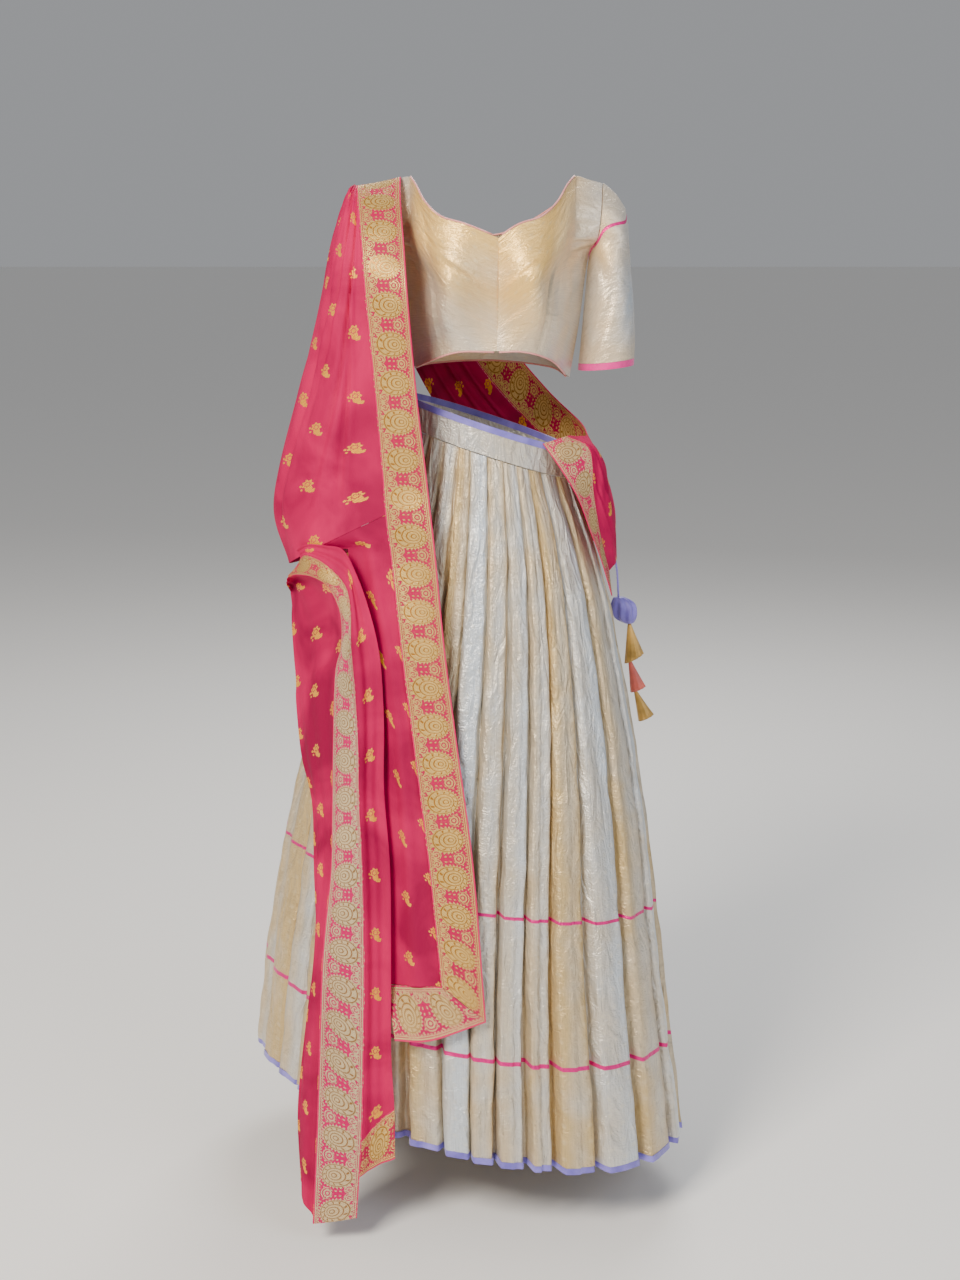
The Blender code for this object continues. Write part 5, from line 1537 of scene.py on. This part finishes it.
def medallion(tree, u, along, middle_u, middle_v, size):
    # Drop shaped head, pointed across the border: its outline, and the dark lines inside it
    reach, turn = polar(tree, u, along, middle_u, middle_v)
    point = add(tree, "ShaderNodeMath", (turn,), operation="COSINE")
    point = add(tree, "ShaderNodeMath", (point, 0.5, 0.5), operation="MULTIPLY_ADD")
    point = add(tree, "ShaderNodeMath", (point, 4.0), operation="POWER")
    rim = add(tree, "ShaderNodeMath", (point, size * 0.56, size * 0.76), operation="MULTIPLY_ADD")
    share = add(tree, "ShaderNodeMath", (reach, rim), operation="DIVIDE")
    fringe = add(tree, "ShaderNodeMath", (turn, 25.0), operation="MULTIPLY")
    fringe = add(tree, "ShaderNodeMath", (fringe,), operation="COSINE")
    scallop = add(tree, "ShaderNodeMath", (fringe, 0.07, 0.96), operation="MULTIPLY_ADD")
    over = add(tree, "ShaderNodeMath", (share, scallop), operation="SUBTRACT")
    head = under(tree, over, 0.0, 0.02)
    # A row of loose stitches stands round the head
    loose = add(tree, "ShaderNodeMath", (fringe, -2.5, 0.2), operation="MULTIPLY_ADD", use_clamp=True)
    loose = add(
        tree, "ShaderNodeMath", (loose, near(tree, share, 1.20, 0.05, 0.02)), operation="MULTIPLY"
    )
    body = add(tree, "ShaderNodeMath", (head, loose), operation="MAXIMUM")
    gaps = add(tree, "ShaderNodeMath", (fringe, -2.0, -0.6), operation="MULTIPLY_ADD", use_clamp=True)
    gaps = add(tree, "ShaderNodeMath", (gaps, near(tree, share, 0.92, 0.05, 0.02)), operation="MULTIPLY")
    swirl = add(tree, "ShaderNodeMath", (share, 7.0, 0.0), operation="MULTIPLY_ADD")
    swirl = add(tree, "ShaderNodeMath", (turn, 11.0, swirl), operation="MULTIPLY_ADD")
    swirl = add(tree, "ShaderNodeMath", (swirl,), operation="SINE")
    swirl = add(tree, "ShaderNodeMath", (swirl, 2.0, -0.9), operation="MULTIPLY_ADD", use_clamp=True)
    swirl = add(
        tree, "ShaderNodeMath", (swirl, near(tree, share, 0.68, 0.08, 0.03)), operation="MULTIPLY"
    )
    rings = [near(tree, share, place, 0.028, 0.02) for place in MEDALLION_RINGS]
    lines = highest(tree, [gaps, swirl] + rings)
    return body, add(tree, "ShaderNodeMath", (lines, head), operation="MULTIPLY")


def scroll(tree, u, along, middle_u, middle_v, size, side):
    # One coil of couched cord
    reach, turn = polar(tree, u, along, middle_u, middle_v)
    coil = add(tree, "ShaderNodeMath", (turn, side * 0.159155), operation="MULTIPLY")
    coil = add(tree, "ShaderNodeMath", (reach, 1.0 / (size * 0.46), coil), operation="MULTIPLY_ADD")
    coil = add(tree, "ShaderNodeMath", (coil,), operation="FRACT")
    line = near(tree, coil, 0.5, 0.30, 0.06)
    inside = under(tree, reach, size, 0.0004)
    return add(tree, "ShaderNodeMath", (line, inside), operation="MULTIPLY")


def plain_satin(name, code, deep_code, metallic=0.0, thread=0.0009):
    # Satin: long floats over fine thread, bright where it turns to the light
    made, tree, shader = new_material(name)
    uv = cloth_lengths(tree)[0]
    place = add(tree, "ShaderNodeTexCoord", out="Object")
    slow = add(tree, "ShaderNodeTexNoise", {"Vector": place, "Scale": 38.0, "Detail": 3.0}, "Fac")
    slow = add(tree, "ShaderNodeMapRange", (slow, 0.32, 0.68, 0.0, 1.0))
    colour = add(
        tree, "ShaderNodeMix", {0: slow, 6: linear(deep_code), 7: linear(code)}, 2, data_type="RGBA"
    )
    feed(tree, shader, {"Base Color": colour, "Roughness": 0.42})
    feed(tree, shader, {"Metallic": metallic, "Sheen Weight": 0.3})
    weave_bump(tree, shader, uv, thread, 0.25, 90.0, 0.0006)
    return made


def build_studio():
    bm = bmesh.new()
    bmesh.ops.create_grid(bm, x_segments=1, y_segments=1, size=60.0)
    for vertex in bm.verts:
        vertex.co.z = FLOOR_Z
    made, _, shader = new_material("pale_studio_floor")
    shader.inputs["Base Color"].default_value = linear(FLOOR_COLOUR)
    shader.inputs["Roughness"].default_value = FLOOR_ROUGHNESS
    floor = finished("studio_floor", bm, made)
    for name, place, size, power, colour in LIGHTS:
        light = bpy.data.lights.new(name, "AREA")
        light.energy = power
        light.size = size
        light.color = linear(colour)[:3]
        lamp = bpy.data.objects.new(name, light)
        bpy.context.scene.collection.objects.link(lamp)
        lamp.location = place
        aim = Vector(AIM) - Vector(place)
        lamp.rotation_euler = aim.to_track_quat("-Z", "Y").to_euler()
    world = bpy.data.worlds.new("studio")
    world.use_nodes = True
    world.node_tree.nodes["Background"].inputs["Color"].default_value = linear(WORLD_COLOUR)
    world.node_tree.nodes["Background"].inputs["Strength"].default_value = WORLD_STRENGTH
    bpy.context.scene.world = world
    camera = bpy.data.cameras.new("camera")
    camera.sensor_fit = "VERTICAL"
    camera.sensor_height = SENSOR_HEIGHT
    camera.lens = FOCAL_PIXELS * SENSOR_HEIGHT / PHOTO_HEIGHT
    viewer = bpy.data.objects.new("camera", camera)
    bpy.context.scene.collection.objects.link(viewer)
    viewer.location = CAMERA_PLACE
    viewer.rotation_euler = (math.pi / 2 - CAMERA_PITCH, 0.0, 0.0)
    bpy.context.scene.camera = viewer


SILK = tissue_silk("tissue_silk_crushed", 1.5, GOLD_SILK, 0.45, (900.0, 26.0), (48.0, 15.0))
# The blouse's taut silk takes the brighter gold as a painted highlight
TAUT_SILK = tissue_silk("tissue_silk_taut", 0.90, GOLD_SILK_PAINTED_HIGHLIGHT, 0.48, (30.0, 760.0), (17.0, 30.0))
GEORGETTE = georgette_cloth()
ZARI = zari_cloth()
LAVENDER = plain_satin("lavender_satin", LAVENDER_SATIN, LAVENDER_DEEP)
PINK = plain_satin("pink_satin_band", PINK_SATIN, PINK_DEEP)
PALE_PINK = plain_satin("pale_pink_piping", PALE_PIPING, PALE_PIPING_DEEP)
GOLD = plain_satin("gold_tissue_cone", GOLD_CONE, "#B58D42", 0.35)
SALMON = plain_satin("salmon_silk_cone", SALMON_CONE, "#C45C54")
CORD = plain_satin("lavender_twisted_cord", LAVENDER_SATIN, LAVENDER_DEEP)

build_studio()
build_skirt()
build_band()
build_blouse()
arm_drape = build_front()
build_fall()
build_back_fall(arm_drape)
build_back(build_hip())
build_tie()
